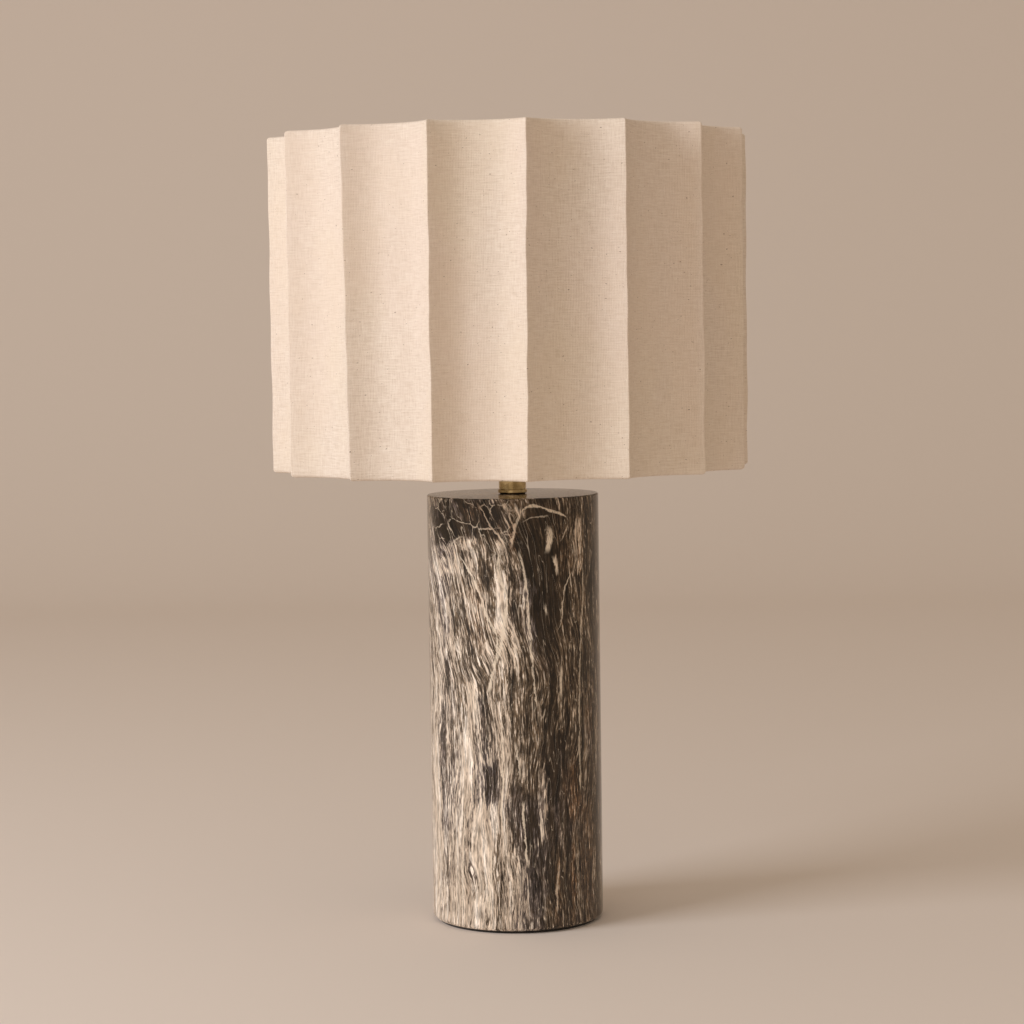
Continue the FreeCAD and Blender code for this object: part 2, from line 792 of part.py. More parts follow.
def bulb_envelope():
    """Frosted envelope: a bowl that closes in a dome."""
    outer_radius = bulb_diameter / 2
    rim_radius = bulb_collar_diameter / 2
    low = bulb_collar_top_z
    outer = envelope_edges(outer_radius, rim_radius, low, bulb_centre_z)
    inner = envelope_edges(outer_radius - bulb_wall, rim_radius - bulb_wall, low, bulb_centre_z)
    rim = Part.LineSegment(Vector(rim_radius, 0, low), Vector(rim_radius - bulb_wall, 0, low)).toShape()
    crown_low = Vector(0, 0, bulb_top_z - bulb_wall)
    crown = Part.LineSegment(crown_low, Vector(0, 0, bulb_top_z)).toShape()
    edges = Part.sortEdges(outer + inner + [rim, crown])[0]
    return Part.Face(Part.Wire(edges)).revolve(ORIGIN, UP, 360)


def envelope_edges(radius, rim_radius, low, centre):
    """The dome's quarter circle, and the curve from it down to the rim."""
    side = Vector(radius, 0, centre)
    diagonal = radius * math.sqrt(0.5)
    dome = Part.Arc(side, Vector(diagonal, 0, centre + diagonal), Vector(0, 0, centre + radius))
    drop = centre - low
    inset = radius - rim_radius
    middle = Vector(radius - inset * bulb_skirt_inset, 0, centre - drop * bulb_skirt_drop)
    skirt = Part.Arc(Vector(rim_radius, 0, low), middle, side)
    return [dome.toShape(), skirt.toShape()]


# ------------------------------------------------------------------------- harp
def harp():
    """Bent wire harp with flattened feet and a pierced pad on its crown."""
    side = harp_width / 2
    foot = harp_foot_x
    right = [
        Vector(foot, 0, harp_rod_z),
        Vector(foot, 0, harp_bend_z),
        Vector(side, 0, harp_side_z),
        Vector(side, 0, harp_crown_z),
    ]
    left = [Vector(-p.x, 0, p.z) for p in reversed(right)]
    bends = [harp_bend_radius, harp_bend_radius, harp_crown_radius]
    path = rounded_path(right + left, bends + bends[::-1])
    frame = swept(path, harp_rod_diameter, right[0], UP)
    for sign in (-1, 1):
        edge_a = sign * (foot - harp_foot_thickness / 2)
        edge_b = sign * (foot + harp_foot_thickness / 2)
        half = tongue_width / 2
        blade = block(min(edge_a, edge_b), max(edge_a, edge_b), -half, half, harp_foot_z, tongue_top_z)
        frame = frame.fuse(blade)
    keep_out = block(-sleeve_x, sleeve_x, -half, half, harp_foot_z - 1, tongue_top_z + running_clearance)
    frame = frame.cut(keep_out)
    pad_low = harp_pad_top_z - harp_pad_thickness
    frame = frame.fuse(cylinder(harp_pad_diameter, pad_low, harp_pad_top_z))
    rivet_room = stud_rivet_diameter + 2 * pass_clearance
    frame = frame.cut(cylinder(rivet_room, pad_low - harp_rod_diameter, pad_low))
    return frame.cut(cylinder(stud_neck_diameter + 2 * running_clearance, pad_low - 1, harp_pad_top_z + 1))


def harp_sleeve(side):
    """Ferrule that locks one foot of the harp to the saddle."""
    bore = 2 * sleeve_bore_radius
    return tube(bore + 2 * sleeve_wall, bore, sleeve_z, sleeve_z + sleeve_length, x=side * sleeve_x)


def harp_stud():
    """Threaded stud, riveted through the harp's pad so that it turns there."""
    rivet_top = harp_pad_top_z - harp_pad_thickness - running_clearance
    profile = [
        (0, rivet_top - stud_rivet_height),
        (stud_rivet_diameter / 2, rivet_top - stud_rivet_height),
        (stud_rivet_diameter / 2, rivet_top),
        (stud_neck_diameter / 2, rivet_top),
        (stud_neck_diameter / 2, stud_flange_z),
        (stud_flange_diameter / 2, stud_flange_z),
        (stud_flange_diameter / 2, hub_z),
        (stud_shoulder_diameter / 2, hub_z),
        (stud_shoulder_diameter / 2, stud_shoulder_top_z),
        (stud_thread_diameter / 2, stud_shoulder_top_z),
        (stud_thread_diameter / 2, stud_top_z),
        (0, stud_top_z),
    ]
    return turned(profile)


# ------------------------------------------------------------------------ shade
def ring_path_radius():
    """The wire rings' distance from the axis in the valleys."""
    return panel_valley_radius + ring_offset


def scallop_ring(height):
    """Wire ring bent to the shade's outline."""
    path = scallop_wire(ring_offset, ring_bend_radius, height)
    start = path.OrderedVertexes[0].Point
    direction = path.OrderedEdges[0].tangentAt(path.OrderedEdges[0].FirstParameter)
    return swept(path, ring_wire_diameter, start, direction)


def arm_angle(index):
    """Each arm points into a valley, midway between the front and a side."""
    valleys_per_arm = ridge_count // spider_arm_count
    return ridge_angle(1 + valleys_per_arm * index) + half_panel


def spider_arm(index):
    """Wire arm from the hub out and up to the top ring."""
    angle = arm_angle(index)
    arm_z = hub_upper_z + spider_arm_diameter / 2 - spider_hub_thickness / 2
    end_radius = ring_path_radius() - ring_wire_diameter / 4
    points = [
        around(angle, spider_arm_start, arm_z),
        around(angle, end_radius - spider_upturn, arm_z),
        around(angle, end_radius, top_ring_z),
    ]
    path = rounded_path(points, [spider_bend_radius])
    return swept(path, spider_arm_diameter, points[0], points[1].sub(points[0]))


def shade_spider():
    """Hub washer, arms and top ring, brazed into one frame."""
    frame = tube(spider_hub_diameter, stud_shoulder_diameter + 2 * running_clearance, hub_z, hub_upper_z)
    for k in range(spider_arm_count):
        frame = frame.fuse(spider_arm(k))
    room = cylinder(finial_diameter + 2 * finial_room, hub_upper_z, shade_top_z)
    return frame.cut(room).fuse(scallop_ring(top_ring_z))


def shade_bottom_ring():
    return scallop_ring(bottom_ring_z)


def shade_liner():
    """Stiff backing inside the linen."""
    low = shade_base_z + cover_thickness + seat_clearance
    high = shade_top_z - cover_thickness - seat_clearance
    outer = scallop_prism(liner_outer_offset, liner_outer_offset, low, high)
    return outer.cut(scallop_prism(liner_inner_offset, liner_inner_offset, low - 1, high + 1))


def hem_skin(low, high):
    """The linen's edge, turned in behind a wire ring."""
    nose = cover_thickness / 2
    outer = scallop_prism(hem_outer_offset, nose, low, high)
    return outer.cut(scallop_prism(hem_inner_offset, nose, low - 1, high + 1))


def shade_cover():
    """Linen cover: scalloped wall, hemmed round the wire ring at the top and bottom."""
    nose = cover_thickness / 2
    cover = scallop_prism(ridge_nose_radius, ridge_nose_radius, shade_base_z, shade_top_z)
    inner_low = shade_base_z + cover_thickness
    inner_high = shade_top_z - cover_thickness
    cover = cover.cut(scallop_prism(cover_inner_offset, cover_inner_offset, inner_low, inner_high))
    cover = cover.cut(scallop_prism(hem_inner_offset, nose, shade_base_z - 1, shade_top_z + 1))
    cover = cover.fuse(hem_skin(shade_base_z + cover_thickness / 2, shade_base_z + hem_height))
    cover = cover.fuse(hem_skin(shade_top_z - hem_height, shade_top_z - cover_thickness / 2))
    for k in range(spider_arm_count):
        cover = cover.cut(arm_notch(k))
    return cover


def arm_notch(index):
    """The cut in the top hem that an arm of the spider passes through."""
    half = spider_arm_diameter / 2 + pass_clearance
    hem_radius = panel_valley_radius + hem_outer_offset
    notch = block(hem_radius - hem_notch_reach, hem_radius + seat_clearance, -half, half, 0, hem_height)
    notch.translate(Vector(0, 0, shade_top_z - cover_thickness - hem_height))
    notch.rotate(ORIGIN, UP, math.degrees(arm_angle(index)) - 90)
    return notch


# ----------------------------------------------------------------------- finial
def finial_washer():
    hole = stud_thread_diameter + 2 * pass_clearance
    return tube(finial_washer_diameter, hole, finial_washer_z, finial_z)


def finial():
    """Turned brass finial: a round foot, a waist and a ball."""
    foot_radius = finial_diameter / 2
    neck_radius = finial_neck_diameter / 2
    foot_top = finial_z + finial_foot_height
    waist_top = finial_z + finial_waist_height
    top = finial_z + finial_height
    ball_radius = (top - waist_top) / 2 + finial_ball_sink
    foot = cylinder(finial_diameter, finial_z, foot_top)
    foot = foot.makeFillet(finial_foot_edge, edges_at(foot, foot_top, foot_radius))
    waist = cylinder(2 * neck_radius, finial_z, top - ball_radius)
    ball = Part.makeSphere(ball_radius, Vector(0, 0, top - ball_radius))
    body = foot.fuse(waist).fuse(ball)
    hole = cylinder(stud_thread_diameter + 2 * thread_clearance, finial_z - 1, finial_z + finial_hole_depth)
    return body.cut(hole)


# ------------------------------------------------------------------------ write
os.makedirs("parts", exist_ok=True)

save("marble_column", marble_column())
save("base_plate", base_plate())
save("felt_pad", felt_pad())
save("cord_bush", cord_bush())
save("pipe_nipple", pipe_nipple())
save("clamp_washer", clamp_washer())
save("lock_washer", lock_washer())
save("nipple_nut", nipple_nut())
save("neck_gasket", neck_gasket())
save("check_ring", check_ring())
save("neck", neck())
save("harp_saddle", harp_saddle())
save("socket_cap", socket_cap())
save("cap_set_screw", cap_set_screw())
save("cap_bushing", cap_bushing())
save("socket_shell", socket_shell())
save("socket_liner", socket_liner())
save("switch_base", switch_base())
save("switch_cover", switch_cover())
save("switch_rivets", switch_rivets())
save("terminal_screws", terminal_screws())
save("screw_shell", screw_shell())
save("centre_contact", centre_contact())
save("switch_rotor", switch_rotor())
save("switch_shaft", switch_shaft())
save("switch_knob", switch_knob())
save("bulb_tip", bulb_tip())
save("bulb_insulator", bulb_insulator())
save("bulb_base", bulb_base())
save("bulb_collar", bulb_collar())
save("bulb_led_board", bulb_led_board())
save("bulb_envelope", bulb_envelope())
save("harp", harp())
save("harp_sleeve_left", harp_sleeve(-1))
save("harp_sleeve_right", harp_sleeve(1))
save("harp_stud", harp_stud())
save("shade_spider", shade_spider())
save("shade_bottom_ring", shade_bottom_ring())
save("shade_liner", shade_liner())
save("shade_cover", shade_cover())
save("finial_washer", finial_washer())
save("finial", finial())
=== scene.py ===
import json
import math
import random

import bpy
from mathutils import Euler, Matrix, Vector


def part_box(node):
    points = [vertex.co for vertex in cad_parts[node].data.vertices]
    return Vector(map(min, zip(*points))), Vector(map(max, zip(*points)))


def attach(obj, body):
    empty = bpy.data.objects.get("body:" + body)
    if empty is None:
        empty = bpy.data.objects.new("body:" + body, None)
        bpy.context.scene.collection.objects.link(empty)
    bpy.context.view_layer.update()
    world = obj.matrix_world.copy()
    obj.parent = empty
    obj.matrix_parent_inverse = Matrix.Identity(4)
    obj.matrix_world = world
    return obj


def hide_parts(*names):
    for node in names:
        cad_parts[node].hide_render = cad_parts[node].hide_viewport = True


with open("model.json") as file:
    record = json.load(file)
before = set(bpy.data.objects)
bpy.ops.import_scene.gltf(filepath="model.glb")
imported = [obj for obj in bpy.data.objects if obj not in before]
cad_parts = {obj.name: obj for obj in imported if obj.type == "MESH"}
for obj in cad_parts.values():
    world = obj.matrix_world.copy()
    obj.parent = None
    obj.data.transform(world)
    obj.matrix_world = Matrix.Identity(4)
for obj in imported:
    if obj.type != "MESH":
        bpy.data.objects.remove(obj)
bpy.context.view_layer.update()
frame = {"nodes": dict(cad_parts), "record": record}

MM = 0.001


# ------------------------------------------------------------------ the camera
PICTURE_PIXELS = 1024
FOCAL_PIXELS = 2683.0
SENSOR_MM = 36.0
CAMERA_PLACE = (-0.6 * MM, -1984.3 * MM, 441.9 * MM)
CAMERA_PITCH_DOWN = 0.0698
CAMERA_ROLL = 0.0138
FARTHEST_SEEN = 50.0


def add_camera():
    """The photograph's long lens, a little above the shade's middle."""
    lens = bpy.data.cameras.new("camera")
    lens.sensor_width = SENSOR_MM
    lens.lens = SENSOR_MM * FOCAL_PIXELS / PICTURE_PIXELS
    lens.clip_end = FARTHEST_SEEN
    camera = bpy.data.objects.new("camera", lens)
    bpy.context.scene.collection.objects.link(camera)
    tilt = Euler((math.pi / 2 - CAMERA_PITCH_DOWN, 0, 0)).to_matrix()
    roll = Euler((0, 0, -CAMERA_ROLL)).to_matrix()
    camera.matrix_world = (tilt @ roll).to_4x4()
    camera.location = CAMERA_PLACE
    bpy.context.scene.camera = camera


# ------------------------------------------------------------- working by hand
def deselect_all():
    if bpy.context.mode != "OBJECT":
        bpy.ops.object.mode_set(mode="OBJECT")
    bpy.ops.object.select_all(action="DESELECT")


def only(piece):
    """Make one piece the selected and active one."""
    deselect_all()
    piece.select_set(True)
    bpy.context.view_layer.objects.active = piece


def named(name):
    """Name the piece that was just added."""
    piece = bpy.context.object
    piece.name = name
    piece.data.name = name
    return piece


def select_edges(piece, test):
    """Open the piece for editing with only the edges selected whose two ends pass the test."""
    only(piece)
    bpy.ops.object.mode_set(mode="EDIT")
    bpy.ops.mesh.select_mode(type="EDGE")
    bpy.ops.mesh.select_all(action="DESELECT")
    bpy.ops.object.mode_set(mode="OBJECT")
    points = piece.data.vertices
    for edge in piece.data.edges:
        edge.select = test([points[index].co for index in edge.vertices])
    bpy.ops.object.mode_set(mode="EDIT")


def apply_modifier(piece, kind, **settings):
    """Add a modifier and apply it."""
    only(piece)
    modifier = piece.modifiers.new(kind.title(), kind)
    for key, value in settings.items():
        setattr(modifier, key, value)
    bpy.ops.object.modifier_apply(modifier=modifier.name)


def settle(piece):
    """Leave the piece at the origin, with its place in its mesh."""
    only(piece)
    bpy.ops.object.transform_apply(location=True, rotation=True, scale=True)


def smooth(piece, degrees=40):
    only(piece)
    bpy.ops.object.shade_smooth_by_angle(angle=math.radians(degrees))


def dress(piece, slot):
    """Give a piece its slot's finish and no other."""
    piece.data.materials.clear()
    piece.data.materials.append(finishes[slot])


def finish_piece(piece, body, slot, replaced):
    """Dress a piece, hang it on its body's empty, and hide the CAD nodes that it stands in for."""
    dress(piece, slot)
    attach(piece, body)
    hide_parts(*replaced)


# ------------------------------------------------------------- material helpers
class Tree:
    """Short ways of adding nodes to a material or a node group."""

    def __init__(self, tree):
        self.tree = tree
        self.nodes = tree.nodes
        self.links = tree.links

    def add(self, kind, *values, **settings):
        """Add a node, set its properties, and feed its first inputs."""
        made = self.nodes.new("ShaderNode" + kind)
        for key, value in settings.items():
            setattr(made, key, value)
        for index, value in enumerate(values):
            self.feed(made.inputs[index], value)
        return made

    def feed_all(self, made, **values):
        """Feed a node's inputs by name."""
        for key, value in values.items():
            self.feed(made.inputs[key.replace("_", " ")], value)

    def feed(self, socket, value):
        """Link a socket to another, or set its plain value."""
        if isinstance(value, bpy.types.NodeSocket):
            self.links.new(value, socket)
        elif value is not None:
            socket.default_value = value

    def math(self, operation, *values, clamp=False):
        return self.add("Math", *values, operation=operation, use_clamp=clamp).outputs[0]

    def vector(self, operation, *values):
        made = self.add("VectorMath", *values, operation=operation)
        return made.outputs["Value" if operation == "LENGTH" else "Vector"]

    def combine(self, x=0.0, y=0.0, z=0.0):
        return self.add("CombineXYZ", x, y, z).outputs[0]

    def separate(self, vector):
        return self.add("SeparateXYZ", vector).outputs

    def stretch(self, vector, scale, shift=(0.0, 0.0, 0.0)):
        """Scale a place, and move it, before a pattern reads it."""
        return self.vector("MULTIPLY_ADD", vector, scale, shift)

    def noise(self, vector, scale, detail=2.0, roughness=0.5, distortion=0.0, output="Fac"):
        made = self.add("TexNoise")
        self.feed_all(
            made, Vector=vector, Scale=scale, Detail=detail, Roughness=roughness, Distortion=distortion)
        return made.outputs[output]

    def cell_edges(self, vector, scale):
        """How far a place lies from the nearest border between cells."""
        made = self.add("TexVoronoi", feature="DISTANCE_TO_EDGE")
        self.feed_all(made, Vector=vector, Scale=scale)
        return made.outputs["Distance"]

    def about_zero(self, value, reach):
        """Spread a value from 0 to 1 evenly about zero."""
        return self.math("MULTIPLY_ADD", value, 2 * reach, -reach)

    def step(self, value, low, high, to_low=0.0, to_high=1.0):
        """A smooth step between two values."""
        made = self.add("MapRange", interpolation_type="SMOOTHSTEP")
        self.feed_all(made, Value=value, From_Min=low, From_Max=high, To_Min=to_low, To_Max=to_high)
        return made.outputs[0]

    def ridge(self, value, width):
        """A thin bright line where the value passes through a half."""
        distance = self.math("ABSOLUTE", self.math("SUBTRACT", value, 0.5))
        return self.step(distance, 0.0, width, 1.0, 0.0)

    def mix(self, factor, first, second, blend="MIX"):
        made = self.add("Mix", data_type="RGBA", blend_type=blend)
        for socket, value in ((made.inputs[0], factor), (made.inputs[6], first), (made.inputs[7], second)):
            self.feed(socket, (*value, 1.0) if isinstance(value, tuple) and len(value) == 3 else value)
        return made.outputs[2]

    def mix_value(self, factor, first, second):
        made = self.add("Mix", factor)
        self.feed(made.inputs[2], first)
        self.feed(made.inputs[3], second)
        return made.outputs[0]

    def ramp(self, value, stops):
        made = self.add("ValToRGB", value)
        band = made.color_ramp
        band.elements[0].position, band.elements[0].color = stops[0][0], (*stops[0][1], 1.0)
        band.elements[1].position, band.elements[1].color = stops[-1][0], (*stops[-1][1], 1.0)
        for place, colour in stops[1:-1]:
            band.elements.new(place).color = (*colour, 1.0)
        return made.outputs[0]

    def place(self):
        return self.add("TexCoord").outputs["Object"]

    def group(self, group, **values):
        """Place a shared node group with its own values."""
        made = self.add("Group")
        made.node_tree = group
        self.feed_all(made, **values)
        return made.outputs

    def bump(self, height, strength, distance):
        made = self.add("Bump")
        self.feed_all(made, Height=height, Strength=strength, Distance=distance)
        return made.outputs[0]


def new_material(name, **surface):
    """A material with a Principled shader, and its uniform values."""
    material = bpy.data.materials.new(name)
    material.use_nodes = True
    shader = material.node_tree.nodes["Principled BSDF"]
    for key, value in surface.items():
        shader.inputs[key.replace("_", " ")].default_value = value
    return material, Tree(material.node_tree), shader


def new_group(name, inputs, outputs):
    """A shared node group with named inputs and outputs."""
    group = bpy.data.node_groups.new(name, "ShaderNodeTree")
    for label, kind, value in inputs:
        socket = group.interface.new_socket(label, in_out="INPUT", socket_type="NodeSocket" + kind)
        if value is not None:
            socket.default_value = value
    for label, kind in outputs:
        group.interface.new_socket(label, in_out="OUTPUT", socket_type="NodeSocket" + kind)
    tree = Tree(group)
    return group, tree, tree.nodes.new("NodeGroupInput").outputs, tree.nodes.new("NodeGroupOutput").inputs


# --------------------------------------------------------------- shared effects
THREAD_WANDER = 1.6 * MM
VEIN_WANDER = 2.2 * MM
VEIN_FRAY = 0.5 * MM
VEIN_TAPER = 6.0 * MM


def make_handling_group():
    """Slight unevenness of tone and polish that handled metal and plastic have."""
    inputs = [
        ("Place", "Vector", None), ("Tone", "Float", 0.15), ("Scale", "Float", 60.0),
        ("Polish", "Float", 0.3), ("Spread", "Float", 0.1),
    ]
    outputs = [("Shade", "Color"), ("Roughness", "Float"), ("Height", "Float")]
    group, tree, given, made = new_group("handling", inputs, outputs)
    broad = tree.noise(given["Place"], given["Scale"], 4.0, 0.6)
    fine_scale = tree.math("MULTIPLY", given["Scale"], 9.0)
    fine = tree.noise(given["Place"], fine_scale, 3.0, 0.6)
    both = tree.math("ADD", tree.math("MULTIPLY", broad, 0.7), tree.math("MULTIPLY", fine, 0.3))
    centred = tree.math("SUBTRACT", both, 0.5)
    shade = tree.math("MULTIPLY_ADD", tree.math("MULTIPLY", centred, given["Tone"]), 2.0, 1.0)
    rough = tree.math("MULTIPLY_ADD", centred, given["Spread"], given["Polish"], clamp=True)
    tree.feed(made["Shade"], tree.combine(shade, shade, shade))
    tree.feed(made["Roughness"], rough)
    tree.feed(made["Height"], fine)
    return group


def make_thread_group():
    """Plain weave of two sets of threads, from the cloth's own flat coordinates in metres."""
    inputs = [("Cloth", "Vector", None), ("Threads", "Float", 1000.0)]
    outputs = [("Height", "Float"), ("Tone", "Float"), ("Slubs", "Float")]
    group, tree, given, made = new_group("plain weave", inputs, outputs)
    wander = tree.vector("SUBTRACT", tree.noise(given["Cloth"], 55.0, 3.0, output="Color"), (0.5, 0.5, 0.5))
    moved = tree.vector("MULTIPLY_ADD", wander, (THREAD_WANDER,) * 3, given["Cloth"])
    along, across, _ = tree.separate(moved)
    half_turns = tree.math("MULTIPLY", given["Threads"], math.pi)
    warp_wave = tree.math("SINE", tree.math("MULTIPLY", along, half_turns))
    weft_wave = tree.math("SINE", tree.math("MULTIPLY", across, half_turns))
    over = tree.step(tree.math("MULTIPLY", warp_wave, weft_wave), -0.35, 0.35)
    warp = tree.math("ABSOLUTE", warp_wave)
    weft = tree.math("ABSOLUTE", weft_wave)
    weave = tree.math("ADD", tree.math("MULTIPLY", warp, over),
                      tree.math("MULTIPLY", weft, tree.math("SUBTRACT", 1.0, over)))
    weft_yarn = tree.noise(tree.stretch(moved, (95.0, 1000.0, 1.0)), 1.0, 3.0, 0.65)
    warp_yarn = tree.noise(tree.stretch(moved, (1000.0, 95.0, 1.0), (7.3, 2.1, 0.0)), 1.0, 3.0, 0.65)
    thick = tree.noise(tree.stretch(moved, (70.0, 700.0, 1.0), (3.7, 9.2, 0.0)), 1.0, 2.0, 0.5)
    slubs = tree.step(thick, 0.62, 0.74)
    tone = tree.math("ADD", tree.math("MULTIPLY", weft_yarn, 0.55), tree.math("MULTIPLY", warp_yarn, 0.45))
    height = tree.math("ADD", tree.math("MULTIPLY", weave, 0.6), tree.math("MULTIPLY", slubs, 0.5))
    tree.feed(made["Height"], tree.math("ADD", height, tree.math("MULTIPLY", tone, 0.5)))
    tree.feed(made["Tone"], tone)
    tree.feed(made["Slubs"], slubs)
    return group


def make_vein_group():
    """One vein of uneven width, from how far a point lies off its line."""
    inputs = [
        ("Off", "Float", 0.0), ("Along", "Float", 0.0), ("Start", "Float", 0.0), ("End", "Float", 0.1),
        ("Width", "Float", 0.001), ("Place", "Vector", None),
    ]
    group, tree, given, made = new_group("vein", inputs, [("Vein", "Float")])
    wander = tree.noise(given["Place"], 120.0, 3.0, 0.6)
    fray = tree.noise(given["Place"], 700.0, 2.0, 0.6)
    off = tree.math("ADD", given["Off"], tree.about_zero(wander, VEIN_WANDER))
    off = tree.math("ADD", off, tree.about_zero(fray, VEIN_FRAY))
    width = tree.math("MULTIPLY", given["Width"], tree.step(wander, 0.30, 0.66, 0.35, 1.0))
    outer, inner = tree.math("MULTIPLY", width, 1.2), tree.math("MULTIPLY", width, 0.45)
    body = tree.step(tree.math("ABSOLUTE", off), outer, inner)
    start = tree.step(given["Along"], given["Start"], tree.math("ADD", given["Start"], VEIN_TAPER))
    end = tree.step(given["Along"], given["End"], tree.math("SUBTRACT", given["End"], VEIN_TAPER))
    tree.feed(made["Vein"], tree.math("MULTIPLY", body, tree.math("MULTIPLY", start, end)))
    return group


def make_patch_group():
    """A soft patch with a ragged edge on the column's wall."""
    inputs = [
        ("Across", "Float", 0.0), ("Height", "Float", 0.0), ("Ragged", "Float", 0.5),
        ("Centre across", "Float", 0.0), ("Centre height", "Float", 0.0),
        ("Half width", "Float", 0.01), ("Half height", "Float", 0.01),
    ]
    group, tree, given, made = new_group("soft patch", inputs, [("Patch", "Float")])

    def share(value, centre, half):
        return tree.math("DIVIDE", tree.math("SUBTRACT", given[value], given[centre]), given[half])

    side = share("Across", "Centre across", "Half width")
    rise = share("Height", "Centre height", "Half height")
    away = tree.vector("LENGTH", tree.combine(side, rise, 0.0))
    away = tree.math("ADD", away, tree.about_zero(given["Ragged"], 0.9))
    tree.feed(made["Patch"], tree.step(away, 1.25, 0.60))
    return group


# -------------------------------------------------------------------- materials
STONE_RADIUS = 63.5 * MM
VEIN_SPAN = 320.0
FAN_HEIGHT = 185.0 * MM
FAN_TURN = 5.2
DRIFT_TURN = 0.22
SWAY_TURN = 0.025
FIELD_RAGGED = 8.0 * MM
CRACKLE_BEND = 6.0 * MM
REAR_FROM, REAR_FULL = 105.0 * MM, 150.0 * MM

# Places on the column's wall are in millimetres: round it from the front towards +X, and up from the table.
# A patch is its place, its half width and half height, and how much it adds.
PALE_PATCHES = [
    (-42, 304, 34, 15, -0.42), (20, 281, 17, 29, -0.55), (-60, 291, 12, 9, -0.30),
    (-22, 262, 6, 12, -0.28), (-56, 189, 4, 13, -0.35),
    (-18, 112, 7, 16, -0.28), (3, 84, 10, 27, -0.30), (29, 137, 5, 42, -0.30), (24, 238, 10, 34, -0.35),
    (-20, 300, 9, 15, -0.25), (62, 230, 12, 60, -0.08), (-47, 225, 4, 14, -0.22), (-62, 120, 4, 40, -0.15),
    (-9, 240, 4.5, 44, 0.35), (-40, 284, 7, 6, 0.22), (-60, 267, 14, 7, 0.22), (-38, 125, 6, 42, 0.30),
    (-28, 70, 9, 28, 0.30), (-76, 80, 9, 95, 0.35), (-56, 215, 14, 30, 0.10), (26.5, 288, 2.4, 9, 0.95),
    (32, 268, 1.4, 8, 0.85), (53, 280, 4.5, 22, 0.40), (19, 98, 3.5, 36, 0.28), (-45, 18, 22, 20, 0.20),
    (-31, 172, 5, 22, 0.30), (-70, 180, 6, 30, 0.25), (0, 205, 3, 30, 0.15),
]
RUST_PATCHES = [
    (-27, 306, 12, 8, 0.8), (-15, 296, 8, 7, 0.6), (46, 98, 6, 26, 0.8), (44, 34, 3.5, 28, 0.9),
    (30, 30, 3, 26, 0.6), (0, 290, 3.5, 12, 0.8), (60, 55, 9, 45, 0.5), (38, 110, 3, 20, 0.5),
    (54, 282, 5, 20, 0.3), (-30, 235, 8, 25, 0.25), (64, 150, 6, 14, 0.4),
]
# A vein is its width, its strength and its points: (up, across) if upright, (across, up) if crossing.
UPRIGHT_VEINS = [
    (1.5, 1.0, [(188, -18), (197, -15), (210, -13), (220, -14), (230, -19), (246, -25), (260, -31),
                (269, -37), (277, -44)]),
    (1.7, 0.9, [(174, -18.8), (192, -16.5), (206.6, -11.1), (224.5, -7.7), (242.5, -5.7), (264, -10.3),
                (282, -11.6)]),
    (0.8, 0.8, [(219, 30.5), (227, 35.6), (244, 37.8), (254, 40.6), (264, 47.9)]),
    (1.0, 0.6, [(100, 52.5), (168, 52.6), (221, 55.1), (243, 58.1), (268, 57.6)]),
    (1.5, 0.8, [(170, 34.9), (196, 35.2)]),
    (1.1, 0.8, [(164, 15.3), (202, 12.3), (234, 10.5), (265, 7.5), (281, 3.3)]),
    (0.9, 0.9, [(80, -11.2), (120, -10.4), (158, -10.3)]),
    (0.9, 0.8, [(112, 3.1), (142, 0.1)]),
    (1.1, 0.9, [(47, 8.1), (72, 5.5), (99, 5.2)]),
    (0.8, 0.7, [(287, -45), (302, -54.8)]),
    (0.9, 0.7, [(277, -28.2), (289, -35.5)]),
    (0.9, 0.7, [(282, -2.1), (292, -11.9), (315, -26.5)]),
    (0.7, 0.6, [(307, -1.9), (316, -9.5)]),
    (1.2, 0.9, [(231, 24), (242, 23)]),
    (3.2, 1.0, [(276, 24.2), (282, 25.8), (288, 27.7), (298, 25.5)]),
    (1.7, 1.0, [(260, 33.6), (268, 32.3), (276, 29.6)]),
    (1.1, 0.8, [(12, 29.3), (49, 30.4)]),
    (2.0, 0.9, [(280, -2.2), (293, 0.1), (300, 2.4), (309, 6.5)]),
    (0.9, 0.7, [(284, 35.5), (291, 39.7), (299, 44)]),
    (1.2, 0.7, [(10, -22), (60, -19.5), (75, -20.5)]),
    (1.0, 0.6, [(12, -45), (90, -41)]),
]
CROSSING_VEINS = [
    (1.1, 0.9, [(2.4, 300), (6.9, 308.7), (14.7, 312.3), (23.8, 309), (33.4, 306.7), (41.2, 302.3),
                (45, 297)]),
    (0.6, 0.5, [(5, 299), (12, 303), (20, 304), (28, 305)]),
    (0.9, 0.6, [(-53, 281), (-45, 287), (-35, 289)]),
]


